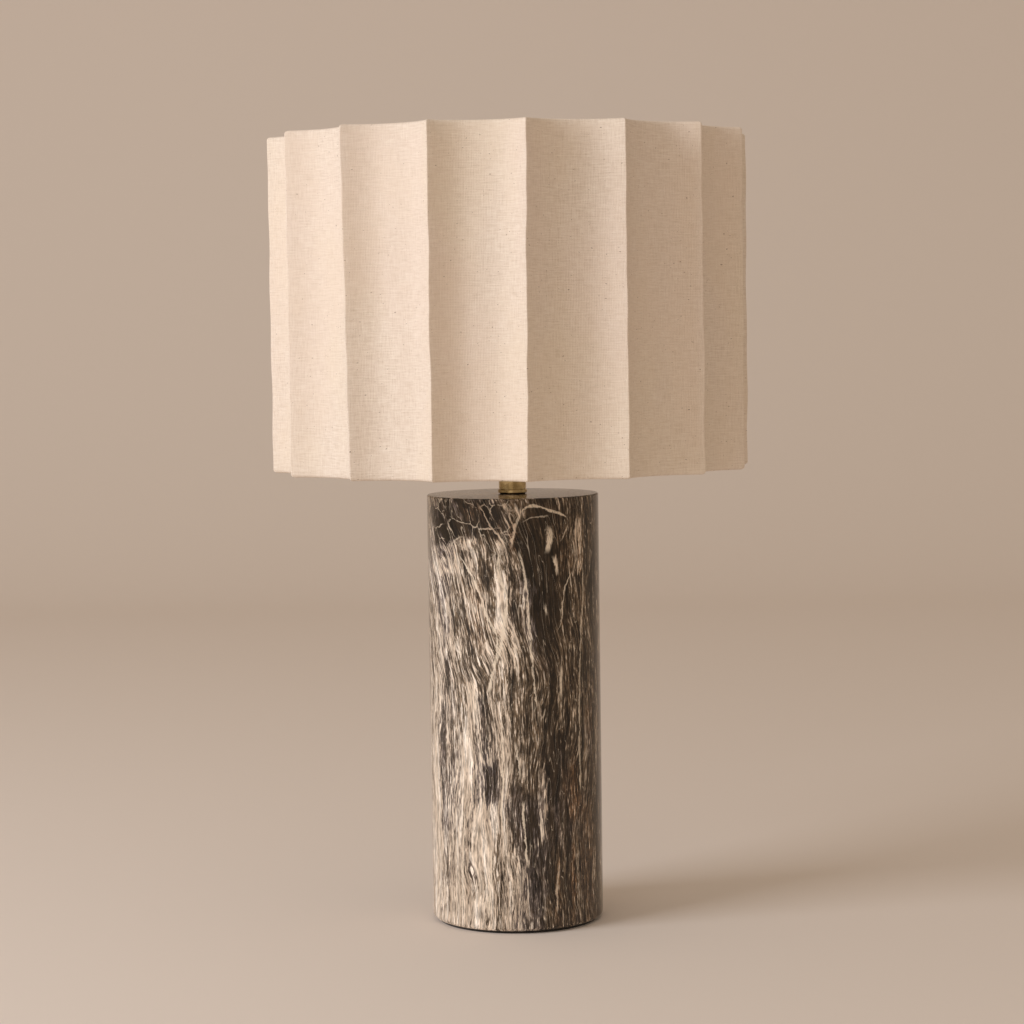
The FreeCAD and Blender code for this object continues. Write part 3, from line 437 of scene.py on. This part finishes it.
def linen():
    """Natural linen: cream yarn in a fine weave, short slubs and a few dark flecks."""
    material, tree, shader = new_material(
        "linen", Roughness=0.95, Specular_IOR_Level=0.1, Sheen_Weight=0.10, Sheen_Roughness=0.6)
    cloth = tree.add("UVMap", uv_map="cloth").outputs[0]
    weave = tree.group(shared["threads"], Cloth=cloth, Threads=880.0)
    warm = tree.noise(tree.stretch(cloth, (14.0, 7.0, 1.0)), 1.0, 3.0, 0.55)
    pink = tree.noise(tree.stretch(cloth, (11.0, 5.0, 1.0), (11.0, 4.0, 0.0)), 1.0, 2.0, 0.5)
    yarn = tree.ramp(weave["Tone"], [
        (0.34, (0.690, 0.580, 0.475)), (0.50, (0.815, 0.705, 0.600)), (0.66, (0.905, 0.810, 0.705)),
    ])
    toned = tree.mix(tree.step(warm, 0.40, 0.62, 0.0, 0.30), yarn, (0.84, 0.71, 0.55))
    toned = tree.mix(tree.step(pink, 0.42, 0.62, 0.0, 0.25), toned, (0.84, 0.69, 0.60))
    toned = tree.mix(tree.math("MULTIPLY", weave["Slubs"], 0.30), toned, (0.93, 0.83, 0.71))
    husk = tree.noise(tree.stretch(cloth, (420.0, 640.0, 1.0), (1.3, 5.1, 0.0)), 1.0, 1.0, 0.5)
    patch = tree.noise(tree.stretch(cloth, (60.0, 60.0, 1.0), (8.3, 1.9, 0.0)), 1.0, 2.0, 0.5)
    fleck = tree.math("MULTIPLY", tree.step(husk, 0.715, 0.75), tree.step(patch, 0.44, 0.56))
    coloured = tree.mix(tree.math("MULTIPLY", fleck, 0.65), toned, (0.20, 0.13, 0.085))
    tree.feed_all(shader, Base_Color=coloured, Normal=tree.bump(weave["Height"], 0.75, 0.35 * MM))
    return material


def marble():
    """Dark brown marble with cream streaks that run mostly upright, polished."""
    material, tree, shader = new_material(
        "marble", Specular_IOR_Level=0.34, Coat_Weight=0.08, Coat_Roughness=0.05)
    place = tree.place()
    x, y, z = tree.separate(place)
    angle = tree.math("ARCTAN2", x, tree.math("MULTIPLY", y, -1.0))
    across = tree.math("MULTIPLY", angle, STONE_RADIUS)

    # The streaks fan out to the left towards the top.
    leftness = tree.math("MULTIPLY_ADD", tree.math("SINE", angle), -0.5, 0.5)
    rise = tree.math("MAXIMUM", tree.math("SUBTRACT", z, FAN_HEIGHT), 0.0)
    lean = tree.math("MULTIPLY", tree.math("MULTIPLY", rise, leftness), FAN_TURN)
    drift = tree.noise(tree.stretch(place, (1.0, 1.0, 0.55)), 17.0, 2.0)
    sway = tree.noise(tree.stretch(place, (1.0, 1.0, 0.30), (0.3, 0.1, 0.0)), 80.0, 2.0)
    turn = tree.math("ADD", tree.about_zero(drift, DRIFT_TURN), tree.about_zero(sway, SWAY_TURN))
    turner = tree.add("VectorRotate", rotation_type="Z_AXIS")
    tree.feed_all(turner, Vector=place, Angle=tree.math("ADD", lean, turn))
    grain = turner.outputs[0]

    def streaks(scale, length, detail, shift=(0.0, 0.0, 0.0)):
        return tree.noise(tree.stretch(grain, (1.0, 1.0, length), shift), scale, detail, 0.6)

    broad = streaks(140.0, 0.07, 3.0)
    middle = streaks(760.0, 0.080, 3.0, (0.4, 0.2, 0.0))
    fine = streaks(1600.0, 0.10, 3.0, (0.1, 0.7, 0.0))
    value = tree.math("ADD", tree.math("MULTIPLY", broad, 0.36), tree.math("MULTIPLY", middle, 0.56))
    value = tree.math("ADD", value, tree.math("MULTIPLY_ADD", fine, 0.56, -0.24))

    ragged = tree.noise(tree.stretch(place, (1.0, 1.0, 0.45)), 130.0, 4.0, 0.6)
    seated = {"Across": across, "Height": z, "Ragged": ragged}

    def patches(spots):
        """The sum of soft patches."""
        total = None
        for s, h, half_s, half_h, amount in spots:
            patch = tree.group(shared["patch"], Centre_across=s * MM, Centre_height=h * MM,
                               Half_width=half_s * MM, Half_height=half_h * MM, **seated)["Patch"]
            total = tree.math("MULTIPLY_ADD", patch, amount, 0.0 if total is None else total)
        return total

    def veins(runs, upright=True):
        """The brightest of some veins."""
        best = None
        along, side = (z, across) if upright else (across, z)
        shift = (0.0, 0.5) if upright else (0.5, 0.0)
        for width, strength, points in runs:
            curve = tree.nodes.new("ShaderNodeFloatCurve")
            line = curve.mapping.curves[0]
            spots = [(a / VEIN_SPAN + shift[0], b / VEIN_SPAN + shift[1]) for a, b in points]
            line.points[0].location, line.points[1].location = spots[0], spots[-1]
            for spot in spots[1:-1]:
                line.points.new(*spot)
            curve.mapping.update()
            scaled = tree.math("MULTIPLY_ADD", along, 1.0 / (VEIN_SPAN * MM), shift[0])
            tree.feed(curve.inputs["Value"], scaled)
            path = tree.math("MULTIPLY", tree.math("SUBTRACT", curve.outputs[0], shift[1]), VEIN_SPAN * MM)
            vein = tree.group(shared["vein"], Off=tree.math("SUBTRACT", side, path), Along=along,
                              Start=points[0][0] * MM, End=points[-1][0] * MM, Width=width * MM,
                              Place=place)["Vein"]
            vein = tree.math("MULTIPLY", vein, strength)
            best = vein if best is None else tree.math("MAXIMUM", best, vein)
        return best

    # Where the stone is pale and where it is dark, and the veins that the front shows.
    edge = tree.math("ADD", across, tree.about_zero(ragged, FIELD_RAGGED))
    left_field = tree.step(edge, 0.016, -0.002)
    rear = tree.step(tree.math("ABSOLUTE", across), REAR_FROM, REAR_FULL)
    field = tree.mix_value(rear, left_field, tree.step(drift, 0.42, 0.60))
    density = tree.math("MULTIPLY_ADD", field, 0.20, 0.27)
    low = tree.step(z, 0.20, 0.02)
    density = tree.math("MULTIPLY_ADD", tree.math("MULTIPLY", low, field), 0.16, density)
    density = tree.math("ADD", density, patches(PALE_PATCHES), clamp=True)
    threshold = tree.math("MULTIPLY_ADD", density, -0.40, 0.705)
    over = tree.math("SUBTRACT", value, threshold)
    cream = tree.step(over, -0.015, 0.040)
    middling = tree.step(over, -0.150, 0.0)

    tone = streaks(300.0, 0.06, 3.0, (0.9, 0.4, 0.0))
    cloud = tree.noise(tree.stretch(place, (1.0, 1.0, 0.4), (0.2, 0.6, 0.1)), 26.0, 3.0)
    dark = tree.ramp(tone, [(0.35, (0.0080, 0.0045, 0.0018)), (0.62, (0.044, 0.029, 0.017))])
    brown = tree.ramp(tone, [(0.36, (0.080, 0.058, 0.040)), (0.64, (0.270, 0.195, 0.128))])
    violet = tree.ramp(tone, [(0.36, (0.090, 0.070, 0.066)), (0.64, (0.250, 0.205, 0.190))])
    mid = tree.mix(tree.step(cloud, 0.50, 0.64), brown, violet)
    rust = tree.math("MULTIPLY", tree.step(cloud, 0.40, 0.30), 0.35)
    rust = tree.math("ADD", patches(RUST_PATCHES), rust, clamp=True)
    mid = tree.mix(rust, mid, tree.ramp(tone, [(0.36, (0.085, 0.038, 0.016)), (0.64, (0.330, 0.185, 0.090))]))
    pale = tree.ramp(tone, [
        (0.33, (0.440, 0.345, 0.262)), (0.50, (0.700, 0.585, 0.470)), (0.66, (0.920, 0.830, 0.730)),
    ])
    pale = tree.mix(tree.math("MULTIPLY", rust, 0.45), pale, (0.52, 0.33, 0.18))
    colour = tree.mix(middling, dark, mid)
    colour = tree.mix(cream, colour, pale)
    hatch = tree.step(streaks(1000.0, 0.11, 4.0, (0.6, 0.8, 0.3)), 0.34, 0.66, 0.48, 1.42)
    colour = tree.mix(1.0, colour, tree.combine(hatch, hatch, hatch), "MULTIPLY")
    line = tree.math("MAXIMUM", veins(UPRIGHT_VEINS), veins(CROSSING_VEINS, upright=False))
    hair = tree.math("MULTIPLY", tree.ridge(streaks(150.0, 0.09, 2.0, (0.5, 0.3, 0.2)), 0.005), 0.55)
    bend = tree.noise(place, 160.0, 3.0, output="Color")
    bent = tree.vector("MULTIPLY_ADD", bend, (CRACKLE_BEND,) * 3, grain)
    crack = tree.cell_edges(tree.stretch(bent, (1.0, 1.0, 0.55)), 105.0)
    crackle = tree.math("MULTIPLY", tree.step(crack, 0.030, 0.004), tree.step(z, 0.255, 0.300))
    crackle = tree.math("MULTIPLY", crackle, tree.step(leftness, 0.40, 0.62))
    crackle = tree.math("MULTIPLY", crackle, tree.step(ragged, 0.36, 0.52))
    line = tree.math("MAXIMUM", line, tree.math("MAXIMUM", hair, tree.math("MULTIPLY", crackle, 0.85)))
    line = tree.math("MULTIPLY", line, tree.step(fine, 0.34, 0.54, 0.45, 1.0))
    vein_colour = tree.mix(tree.math("MULTIPLY", rust, 0.5), (0.88, 0.76, 0.61), (0.70, 0.45, 0.29))
    colour = tree.mix(line, colour, vein_colour)
    tree.feed_all(shader, Base_Color=colour, Roughness=tree.step(middle, 0.3, 0.7, 0.12, 0.22))
    return material


def handle(tree, shader, colour, bump, **wear):
    """Give a surface its colour, with the unevenness of tone, polish and height that handling leaves."""
    worn = tree.group(shared["handling"], **wear)
    tree.feed_all(
        shader, Base_Color=tree.mix(1.0, colour, worn["Shade"], "MULTIPLY"), Roughness=worn["Roughness"],
        Normal=tree.bump(worn["Height"], *bump))


def metal(name, dark, bright, roughness, spread, tone=0.3, scale=90.0):
    """A metal whose tone wanders between two colours."""
    material, tree, shader = new_material(name, Metallic=1.0)
    place = tree.place()
    patina = tree.noise(place, scale * 0.6, 4.0, 0.6)
    colour = tree.mix(tree.step(patina, 0.38, 0.62), dark, bright)
    handle(tree, shader, colour, (0.08, 0.2 * MM),
           Place=place, Tone=tone, Scale=scale, Polish=roughness, Spread=spread)
    return material


def moulded(name, colour, roughness, spread=0.12, tone=0.12, scale=140.0, bump=0.12):
    """A moulded or painted surface with a slight grain."""
    material, tree, shader = new_material(name)
    handle(tree, shader, colour, (bump, 0.3 * MM),
           Place=tree.place(), Tone=tone, Scale=scale, Polish=roughness, Spread=spread)
    return material


def felt():
    """Dense dark felt with loose fibres."""
    material, tree, shader = new_material("felt", Roughness=1.0, Sheen_Weight=0.3, Sheen_Roughness=0.5)
    place = tree.place()
    fibre = tree.noise(place, 900.0, 4.0, 0.7, 0.8)
    cloud = tree.noise(place, 80.0, 3.0, 0.6)
    tone = tree.math("ADD", tree.math("MULTIPLY", fibre, 0.7), tree.math("MULTIPLY", cloud, 0.3))
    colour = tree.ramp(tone, [(0.35, (0.010, 0.009, 0.008)), (0.65, (0.045, 0.038, 0.033))])
    tree.feed_all(shader, Base_Color=colour, Normal=tree.bump(fibre, 0.6, 0.5 * MM))
    return material


def lining():
    """Stiff backing film, printed with the linen's faint texture."""
    material, tree, shader = new_material("shade lining", Roughness=0.55)
    cloth = tree.add("UVMap", uv_map="cloth").outputs[0]
    grain = tree.noise(tree.stretch(cloth, (500.0, 500.0, 1.0)), 1.0, 3.0, 0.6)
    cloud = tree.noise(tree.stretch(cloth, (8.0, 8.0, 1.0)), 1.0, 3.0, 0.5)
    tone = tree.math("ADD", tree.math("MULTIPLY", grain, 0.4), tree.math("MULTIPLY", cloud, 0.6))
    colour = tree.ramp(tone, [(0.35, (0.78, 0.72, 0.62)), (0.65, (0.88, 0.83, 0.74))])
    tree.feed_all(shader, Base_Color=colour, Normal=tree.bump(grain, 0.15, 0.2 * MM))
    return material


shared = {
    "handling": make_handling_group(),
    "threads": make_thread_group(),
    "vein": make_vein_group(),
    "patch": make_patch_group(),
}

finishes = {
    "marble": marble(),
    "linen": linen(),
    "felt": felt(),
    "liner_film": lining(),
    "antique_brass": metal("antique brass", (0.36, 0.26, 0.12), (0.70, 0.54, 0.29), 0.22, 0.2),
    "contact_brass": metal("contact brass", (0.55, 0.40, 0.17), (0.78, 0.60, 0.30), 0.28, 0.2),
    "steel": metal("zinc plated steel", (0.36, 0.36, 0.35), (0.62, 0.61, 0.58), 0.38, 0.25),
    "bulb_metal": metal("nickel plate", (0.55, 0.54, 0.51), (0.78, 0.77, 0.74), 0.25, 0.2),
    "black_plastic": moulded("black plastic", (0.020, 0.020, 0.021), 0.42),
    "phenolic": moulded("brown phenolic", (0.060, 0.030, 0.020), 0.45, tone=0.4),
    "rubber": moulded("rubber washer", (0.018, 0.017, 0.016), 0.75),
    "fibre_sleeve": moulded("fibre sleeve", (0.33, 0.22, 0.12), 0.8, tone=0.35, scale=300.0, bump=0.3),
    "bulb_black": moulded("black glass", (0.012, 0.012, 0.014), 0.12, spread=0.05),
    "white_plastic": moulded("white plastic", (0.76, 0.75, 0.72), 0.42),
    "frosted_white": moulded("frosted bulb", (0.84, 0.83, 0.79), 0.50, tone=0.04, bump=0.05),
    "white_wire": moulded("white enamel", (0.74, 0.72, 0.67), 0.33, tone=0.1),
}


def dress_nodes():
    """Give each CAD node its finish."""
    slots = {part["node"]: part["material_slot"] for part in frame["record"]["subparts"]}
    for node, piece in frame["nodes"].items():
        dress(piece, slots[node])


# -------------------------------------------------------------------- the shade
RIDGES = 16
FIRST_RIDGE = math.radians(4.25)
SHADE_RADIUS = 175.5 * MM
PANEL_DEPTH = 13.5 * MM
RIDGE_NOSE = 1.6 * MM
SHARPER = 0.75 * MM
LEAST_NOSE = 0.15 * MM
PULLED_IN = 1.2 * MM
WAVER_SHARE = 0.8
RIM_REACH = 25 * MM
RIM_CALM = 0.25
CLOTH = 0.7 * MM
LINER = 0.5 * MM
GLUE = 0.05 * MM
RING_WIRE = 2.4 * MM
SEAT = 0.1 * MM
RING_BEND = 1.5 * MM
HEM = 12.0 * MM
SEAM_PANEL = 7
SEAM_STEP = 0.06
SEAM_JOIN = 0.01 * MM
ARMS = 4
ARM_PANEL = 1
NOTCH_HALF = 3.2 * MM
NOTCH_TOP = 3.2 * MM
NOTCH_PAST_HEM = 1.0 * MM
NOTCH_RADIUS = 156.2 * MM
NOSE_STEPS = 2
PANEL_STEPS = 14
WALL_STEPS = 48
ROLL_STEPS = 6
HEM_STEPS = 3
CLOTH_SMOOTH = 50
WIRE_SMOOTH = 60

half_panel = math.pi / RIDGES
nose_centre = SHADE_RADIUS - RIDGE_NOSE
half_chord = nose_centre * math.sin(half_panel)
arc_radius = (half_chord ** 2 + PANEL_DEPTH ** 2) / (2 * PANEL_DEPTH)
arc_centre = nose_centre * math.cos(half_panel) - PANEL_DEPTH + arc_radius
shade_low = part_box("shade_cover")[0].z
shade_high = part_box("shade_cover")[1].z

# How far the ridges stray sideways, at the top and the bottom, in millimetres.
ridge_stray = {14: (-0.5, 3.6), 15: (0.3, 0.5), 0: (-0.7, -2.7), 1: (0.5, 1.0), 2: (1.0, 2.3)}

chance = random.Random(16)


def draw_waves(low, high, lengths):
    """For each ridge or panel, waves of chance size and phase, of the given lengths in millimetres."""
    return [
        [(chance.uniform(low, high), chance.uniform(0, 2 * math.pi), length) for length in lengths]
        for _ in range(RIDGES)
    ]


ridge_waves = draw_waves(0.10, 0.34, (150.0, 78.0, 41.0))
bulge_waves = draw_waves(0.15, 0.35, (120.0, 55.0))
panel_waves = draw_waves(0.2, 0.5, (210.0, 90.0))


def waver(waves, height):
    """A slow wave up a ridge or a panel, in metres."""
    total = 0.0
    for size, phase, length in waves:
        total += size * math.sin(2 * math.pi * height / (length * MM) + phase)
    return total * MM


def calm_at_rims(height):
    """1 along the wall, falling to a little at the wire rings, which hold the cloth."""
    edge = min(height - shade_low, shade_high - height) / RIM_REACH
    return RIM_CALM + (1 - RIM_CALM) * min(1.0, max(0.0, edge))


def stray(ridge, height):
    """How far a ridge has moved sideways at a height, in metres."""
    top, bottom = ridge_stray.get(ridge % RIDGES, (0.0, 0.0))
    share = (height - shade_low) / (shade_high - shade_low)
    lean = (bottom + (top - bottom) * share) * MM
    return lean + waver(ridge_waves[ridge % RIDGES], height) * calm_at_rims(height)


def panel_profile(offset, nose):
    """Half a ridge nose, a concave panel and half the next nose: angles and radii from a ridge."""
    reach = arc_radius - offset
    nose = max(LEAST_NOSE, nose - SHARPER)
    sideways = arc_centre * math.sin(half_panel)
    inward = math.sqrt((reach + nose) ** 2 - sideways ** 2)
    middle = arc_centre * math.cos(half_panel)
    start = middle - inward
    lean = math.atan2(sideways, inward)
    points = []
    for i in range(NOSE_STEPS):
        turn = lean * i / NOSE_STEPS
        points.append((start + nose * math.cos(turn), nose * math.sin(turn)))
    for i in range(PANEL_STEPS + 1):
        turn = math.pi + lean + 2 * (half_panel - lean) * i / PANEL_STEPS
        points.append((middle + reach * math.cos(turn), sideways + reach * math.sin(turn)))
    polar = [(math.atan2(y, x), math.hypot(x, y)) for x, y in points]
    for i in range(NOSE_STEPS - 1, -1, -1):
        angle, radius = polar[i]
        polar.append((2 * half_panel - angle, radius))
    return polar


PANEL_COLUMNS = PANEL_STEPS + 2 * NOSE_STEPS


def shade_point(panel, column, offset, nose, height, lift=0.0):
    """A point of the shade's wall, in the object's frame."""
    profile = panel_profile(offset, nose)
    low = int(column)
    part = column - low
    angle, radius = profile[low]
    if part:
        next_angle, next_radius = profile[low + 1]
        angle += (next_angle - angle) * part
        radius += (next_radius - radius) * part
    across = angle / (2 * half_panel)
    slide = (1 - across) * stray(panel, height) + across * stray(panel + 1, height)
    bulge = (1 - across) * waver(bulge_waves[panel % RIDGES], height)
    bulge += across * waver(bulge_waves[(panel + 1) % RIDGES], height)
    sway = waver(panel_waves[panel % RIDGES], height) * math.sin(math.pi * across)
    calm = calm_at_rims(height)
    pull = PULLED_IN * math.sin(2 * math.pi * across) ** 2
    radius += ((bulge + sway) * WAVER_SHARE - pull) * calm + lift
    turned = FIRST_RIDGE + 2 * half_panel * panel + angle + slide / SHADE_RADIUS
    return Vector((radius * math.sin(turned), -radius * math.cos(turned), height))


def sheet_grid(name, columns, rows):
    """A flat sheet with one vertex for each column and row."""
    deselect_all()
    bpy.ops.mesh.primitive_grid_add(
        x_subdivisions=len(columns) - 1, y_subdivisions=len(rows) - 1, size=2, location=(0, 0, 0))
    return named(name)


def sheet_lengths(points):
    """The running length along a list of points."""
    total = [0.0]
    for first, second in zip(points, points[1:]):
        total.append(total[-1] + (second - first).length)
    return total


def bend_sheet(piece, columns, rows):
    """Bend the flat sheet to the shade's wall, and keep its flat size as its own coordinates."""
    mesh = piece.data
    last_column, last_row = len(columns) - 1, len(rows) - 1
    offset, nose, height = max(rows, key=lambda row: row[0])
    along = sheet_lengths([shade_point(p, c, offset, nose, height, lift) for p, c, lift in columns])
    across = sheet_lengths([Vector((row[0], 0, row[2])) for row in rows])
    spots = {}
    for vertex in mesh.vertices:
        i = round((vertex.co.x + 1) / 2 * last_column)
        j = round((vertex.co.y + 1) / 2 * last_row)
        spots[vertex.index] = (i, j)
    layer = mesh.uv_layers[0]
    layer.name = "cloth"
    for loop in mesh.loops:
        i, j = spots[loop.vertex_index]
        layer.data[loop.index].uv = (along[i], across[j])
    for vertex in mesh.vertices:
        i, j = spots[vertex.index]
        panel, column, lift = columns[i]
        offset, nose, height = rows[j]
        vertex.co = shade_point(panel, column, offset, nose, height, lift)
    mesh.update()
    return along[-1], across[-1]


def cover_columns():
    """Once round the shade from the rear seam, then over the start to lap it."""
    start = PANEL_COLUMNS // 2
    columns = []
    for step in range(RIDGES * PANEL_COLUMNS):
        position = start + step
        columns.append((SEAM_PANEL + position // PANEL_COLUMNS, position % PANEL_COLUMNS, 0.0))
    end_panel = SEAM_PANEL + RIDGES
    columns.append((end_panel, start - SEAM_STEP, 0.0))
    columns += [(end_panel, start + step, CLOTH + GLUE) for step in (SEAM_STEP, 1, 2)]
    return columns


def cover_rows():
    """From the turned-in top hem, over the rim, down the wall and round into the bottom hem."""
    wall = RIDGE_NOSE - CLOTH / 2
    ring = RIDGE_NOSE - CLOTH - GLUE - LINER - SEAT - RING_WIRE / 2
    inner = ring - RING_WIRE / 2 - SEAT - CLOTH / 2
    roll = (wall - inner) / 2
    centre = (wall + inner) / 2
    top = shade_high - CLOTH / 2 - roll
    bottom = shade_low + CLOTH / 2 + roll
    inner_nose = CLOTH / 2
    rows = []
    for i in range(HEM_STEPS):
        rows.append((inner, inner_nose, shade_high - HEM + (top - shade_high + HEM) * i / HEM_STEPS))
    for i in range(ROLL_STEPS + 1):
        turn = math.pi * (1 - i / ROLL_STEPS)
        share = i / ROLL_STEPS
        rows.append((centre + roll * math.cos(turn), inner_nose + (wall - inner_nose) * share,
                     top + roll * math.sin(turn)))
    for i in range(1, WALL_STEPS):
        rows.append((wall, wall, top + (bottom - top) * i / WALL_STEPS))
    for i in range(ROLL_STEPS + 1):
        turn = math.pi * i / ROLL_STEPS
        share = 1 - i / ROLL_STEPS
        rows.append((centre + roll * math.cos(turn), inner_nose + (wall - inner_nose) * share,
                     bottom - roll * math.sin(turn)))
    for i in range(1, HEM_STEPS + 1):
        rows.append((inner, inner_nose, bottom + (shade_low + HEM - bottom) * i / HEM_STEPS))
    return rows


def cut_arm_notches(piece):
    """Open the top hem's inner skin where the spider's arms pass."""
    only(piece)
    low, high = shade_high - HEM - NOTCH_PAST_HEM, shade_high - NOTCH_TOP
    arms = [FIRST_RIDGE + 2 * half_panel * (ARM_PANEL + RIDGES // ARMS * k) + half_panel for k in range(ARMS)]
    bpy.ops.object.mode_set(mode="EDIT")
    bpy.ops.mesh.select_mode(type="FACE")
    bpy.ops.mesh.select_all(action="DESELECT")
    bpy.ops.object.mode_set(mode="OBJECT")
    for face in piece.data.polygons:
        centre = face.center
        turned = math.atan2(centre.x, -centre.y)
        near = min(abs((turned - arm + math.pi) % (2 * math.pi) - math.pi) for arm in arms)
        inside = math.hypot(centre.x, centre.y) < NOTCH_RADIUS
        face.select = inside and low < centre.z < high and near * NOTCH_RADIUS < NOTCH_HALF
    bpy.ops.object.mode_set(mode="EDIT")
    bpy.ops.mesh.delete(type="FACE")
    bpy.ops.object.mode_set(mode="OBJECT")


def shade_cover():
    """The linen: one sheet wrapped round, lapped at the back and hemmed over both rings."""
    columns, rows = cover_columns(), cover_rows()
    cover = sheet_grid("shade_linen", columns, rows)
    width, height = bend_sheet(cover, columns, rows)
    cut_arm_notches(cover)
    apply_modifier(cover, "SOLIDIFY", thickness=CLOTH, offset=0.0, use_even_offset=False)
    smooth(cover, CLOTH_SMOOTH)
    finish_piece(cover, "shade", "linen", ["shade_cover"])


def shade_lining():
    """The stiff film that the linen is bonded to."""
    middle = RIDGE_NOSE - CLOTH - GLUE - LINER / 2
    low = shade_low + CLOTH + SEAT
    high = shade_high - CLOTH - SEAT
    rows = [(middle, middle, low + (high - low) * i / WALL_STEPS) for i in range(WALL_STEPS + 1)]
    columns = [(k // PANEL_COLUMNS, k % PANEL_COLUMNS, 0.0) for k in range(RIDGES * PANEL_COLUMNS + 1)]
    liner = sheet_grid("shade_lining", columns, rows)
    bend_sheet(liner, columns, rows)
    only(liner)
    bpy.ops.object.mode_set(mode="EDIT")
    bpy.ops.mesh.select_all(action="SELECT")
    bpy.ops.mesh.remove_doubles(threshold=SEAM_JOIN)
    bpy.ops.object.mode_set(mode="OBJECT")
    apply_modifier(liner, "SOLIDIFY", thickness=LINER, offset=0.0, use_even_offset=False)
    smooth(liner, CLOTH_SMOOTH)
    finish_piece(liner, "shade", "liner_film", ["shade_liner"])


def bottom_ring():
    """The wire ring in the bottom hem, bent like the linen."""
    ring = RIDGE_NOSE - CLOTH - GLUE - LINER - SEAT - RING_WIRE / 2
    height = shade_low + CLOTH + SEAT + RING_WIRE / 2
    count = RIDGES * PANEL_COLUMNS
    deselect_all()
    bpy.ops.mesh.primitive_circle_add(vertices=count, radius=1, location=(0, 0, 0))
    wire = named("shade_ring_low")
    for vertex in wire.data.vertices:
        k = round(math.atan2(vertex.co.y, vertex.co.x) / (2 * math.pi) * count) % count
        vertex.co = shade_point(k // PANEL_COLUMNS, k % PANEL_COLUMNS, ring, RING_BEND, height)
    only(wire)
    bpy.ops.object.convert(target="CURVE")
    wire = bpy.context.object
    wire.data.bevel_depth = RING_WIRE / 2
    wire.data.bevel_resolution = 2
    bpy.ops.object.convert(target="MESH")
    wire = bpy.context.object
    smooth(wire, WIRE_SMOOTH)
    finish_piece(wire, "shade", "white_wire", ["shade_bottom_ring"])


# ------------------------------------------------------------ stage and lights
STAGE_SIZE = 12.0
BACKDROP_Y = 3.4
BACKDROP_HEIGHT = 4.0
BACKDROP_BEND = 1.2
BEND_STEPS = 24
EDGE_REACH = 0.01
FLOOR_COLOUR = (0.78, 0.705, 0.645, 1.0)
BACKGROUND_COLOUR = (0.53, 0.43, 0.345, 1.0)
SURROUND_COLOUR = (1.0, 0.83, 0.66, 1.0)
SURROUND_STRENGTH = 0.50
AIM = (0, 0, 0.40)


def add_stage():
    """A plain pale floor that curves up into a plain backdrop."""
    deselect_all()
    bpy.ops.mesh.primitive_plane_add(size=STAGE_SIZE, location=(0, BACKDROP_Y - STAGE_SIZE / 2, 0))
    floor = named("floor")
    settle(floor)

    def at_back(ends):
        return min(point.y for point in ends) > BACKDROP_Y - EDGE_REACH

    def at_foot(ends):
        return at_back(ends) and max(point.z for point in ends) < EDGE_REACH

    select_edges(floor, at_back)
    bpy.ops.mesh.extrude_region_move(TRANSFORM_OT_translate={"value": (0, 0, BACKDROP_HEIGHT)})
    bpy.ops.object.mode_set(mode="OBJECT")
    select_edges(floor, at_foot)
    bpy.ops.mesh.bevel(offset=BACKDROP_BEND, segments=BEND_STEPS)
    bpy.ops.object.mode_set(mode="OBJECT")
    smooth(floor)
    material, _, _ = new_material(
        "pale floor", Roughness=0.9, Specular_IOR_Level=0.1, Base_Color=FLOOR_COLOUR)
    floor.data.materials.append(material)


def add_area_light(name, azimuth, elevation, distance, size, power, colour):
    """A soft square light aimed at the lamp: its turn from the front and its rise are in degrees."""
    lamp = bpy.data.lights.new(name, "AREA")
    lamp.size = size
    lamp.energy = power
    lamp.color = colour
    light = bpy.data.objects.new(name, lamp)
    bpy.context.scene.collection.objects.link(light)
    turn, rise = math.radians(azimuth), math.radians(elevation)
    away = Vector((math.sin(turn) * math.cos(rise), -math.cos(turn) * math.cos(rise), math.sin(rise)))
    light.location = Vector(AIM) + away * distance
    light.rotation_euler = away.to_track_quat("Z", "Y").to_euler()


def add_lights():
    """A soft key from the left, and an even warm surround."""
    add_area_light("key", -60, 20, 3.0, size=1.5, power=55.0, colour=(0.92, 0.945, 1.0))
    add_area_light("fill", -15, 12, 3.5, size=2.0, power=8.0, colour=(1.0, 0.93, 0.86))
    world = bpy.data.worlds.new("surround")
    bpy.context.scene.world = world
    world.use_nodes = True
    tree = Tree(world.node_tree)
    lit = tree.nodes["Background"]
    tree.feed_all(lit, Color=SURROUND_COLOUR, Strength=SURROUND_STRENGTH)
    seen = tree.add("Background", BACKGROUND_COLOUR)
    seen_directly = tree.add("LightPath").outputs["Is Camera Ray"]
    either = tree.add("MixShader", seen_directly, lit.outputs[0], seen.outputs[0])
    tree.feed(tree.nodes["World Output"].inputs["Surface"], either.outputs[0])


bpy.context.scene.view_settings.view_transform = "Standard"
add_camera()
dress_nodes()
bottom_ring()
shade_lining()
shade_cover()
add_stage()
add_lights()

bpy.context.view_layer.update()
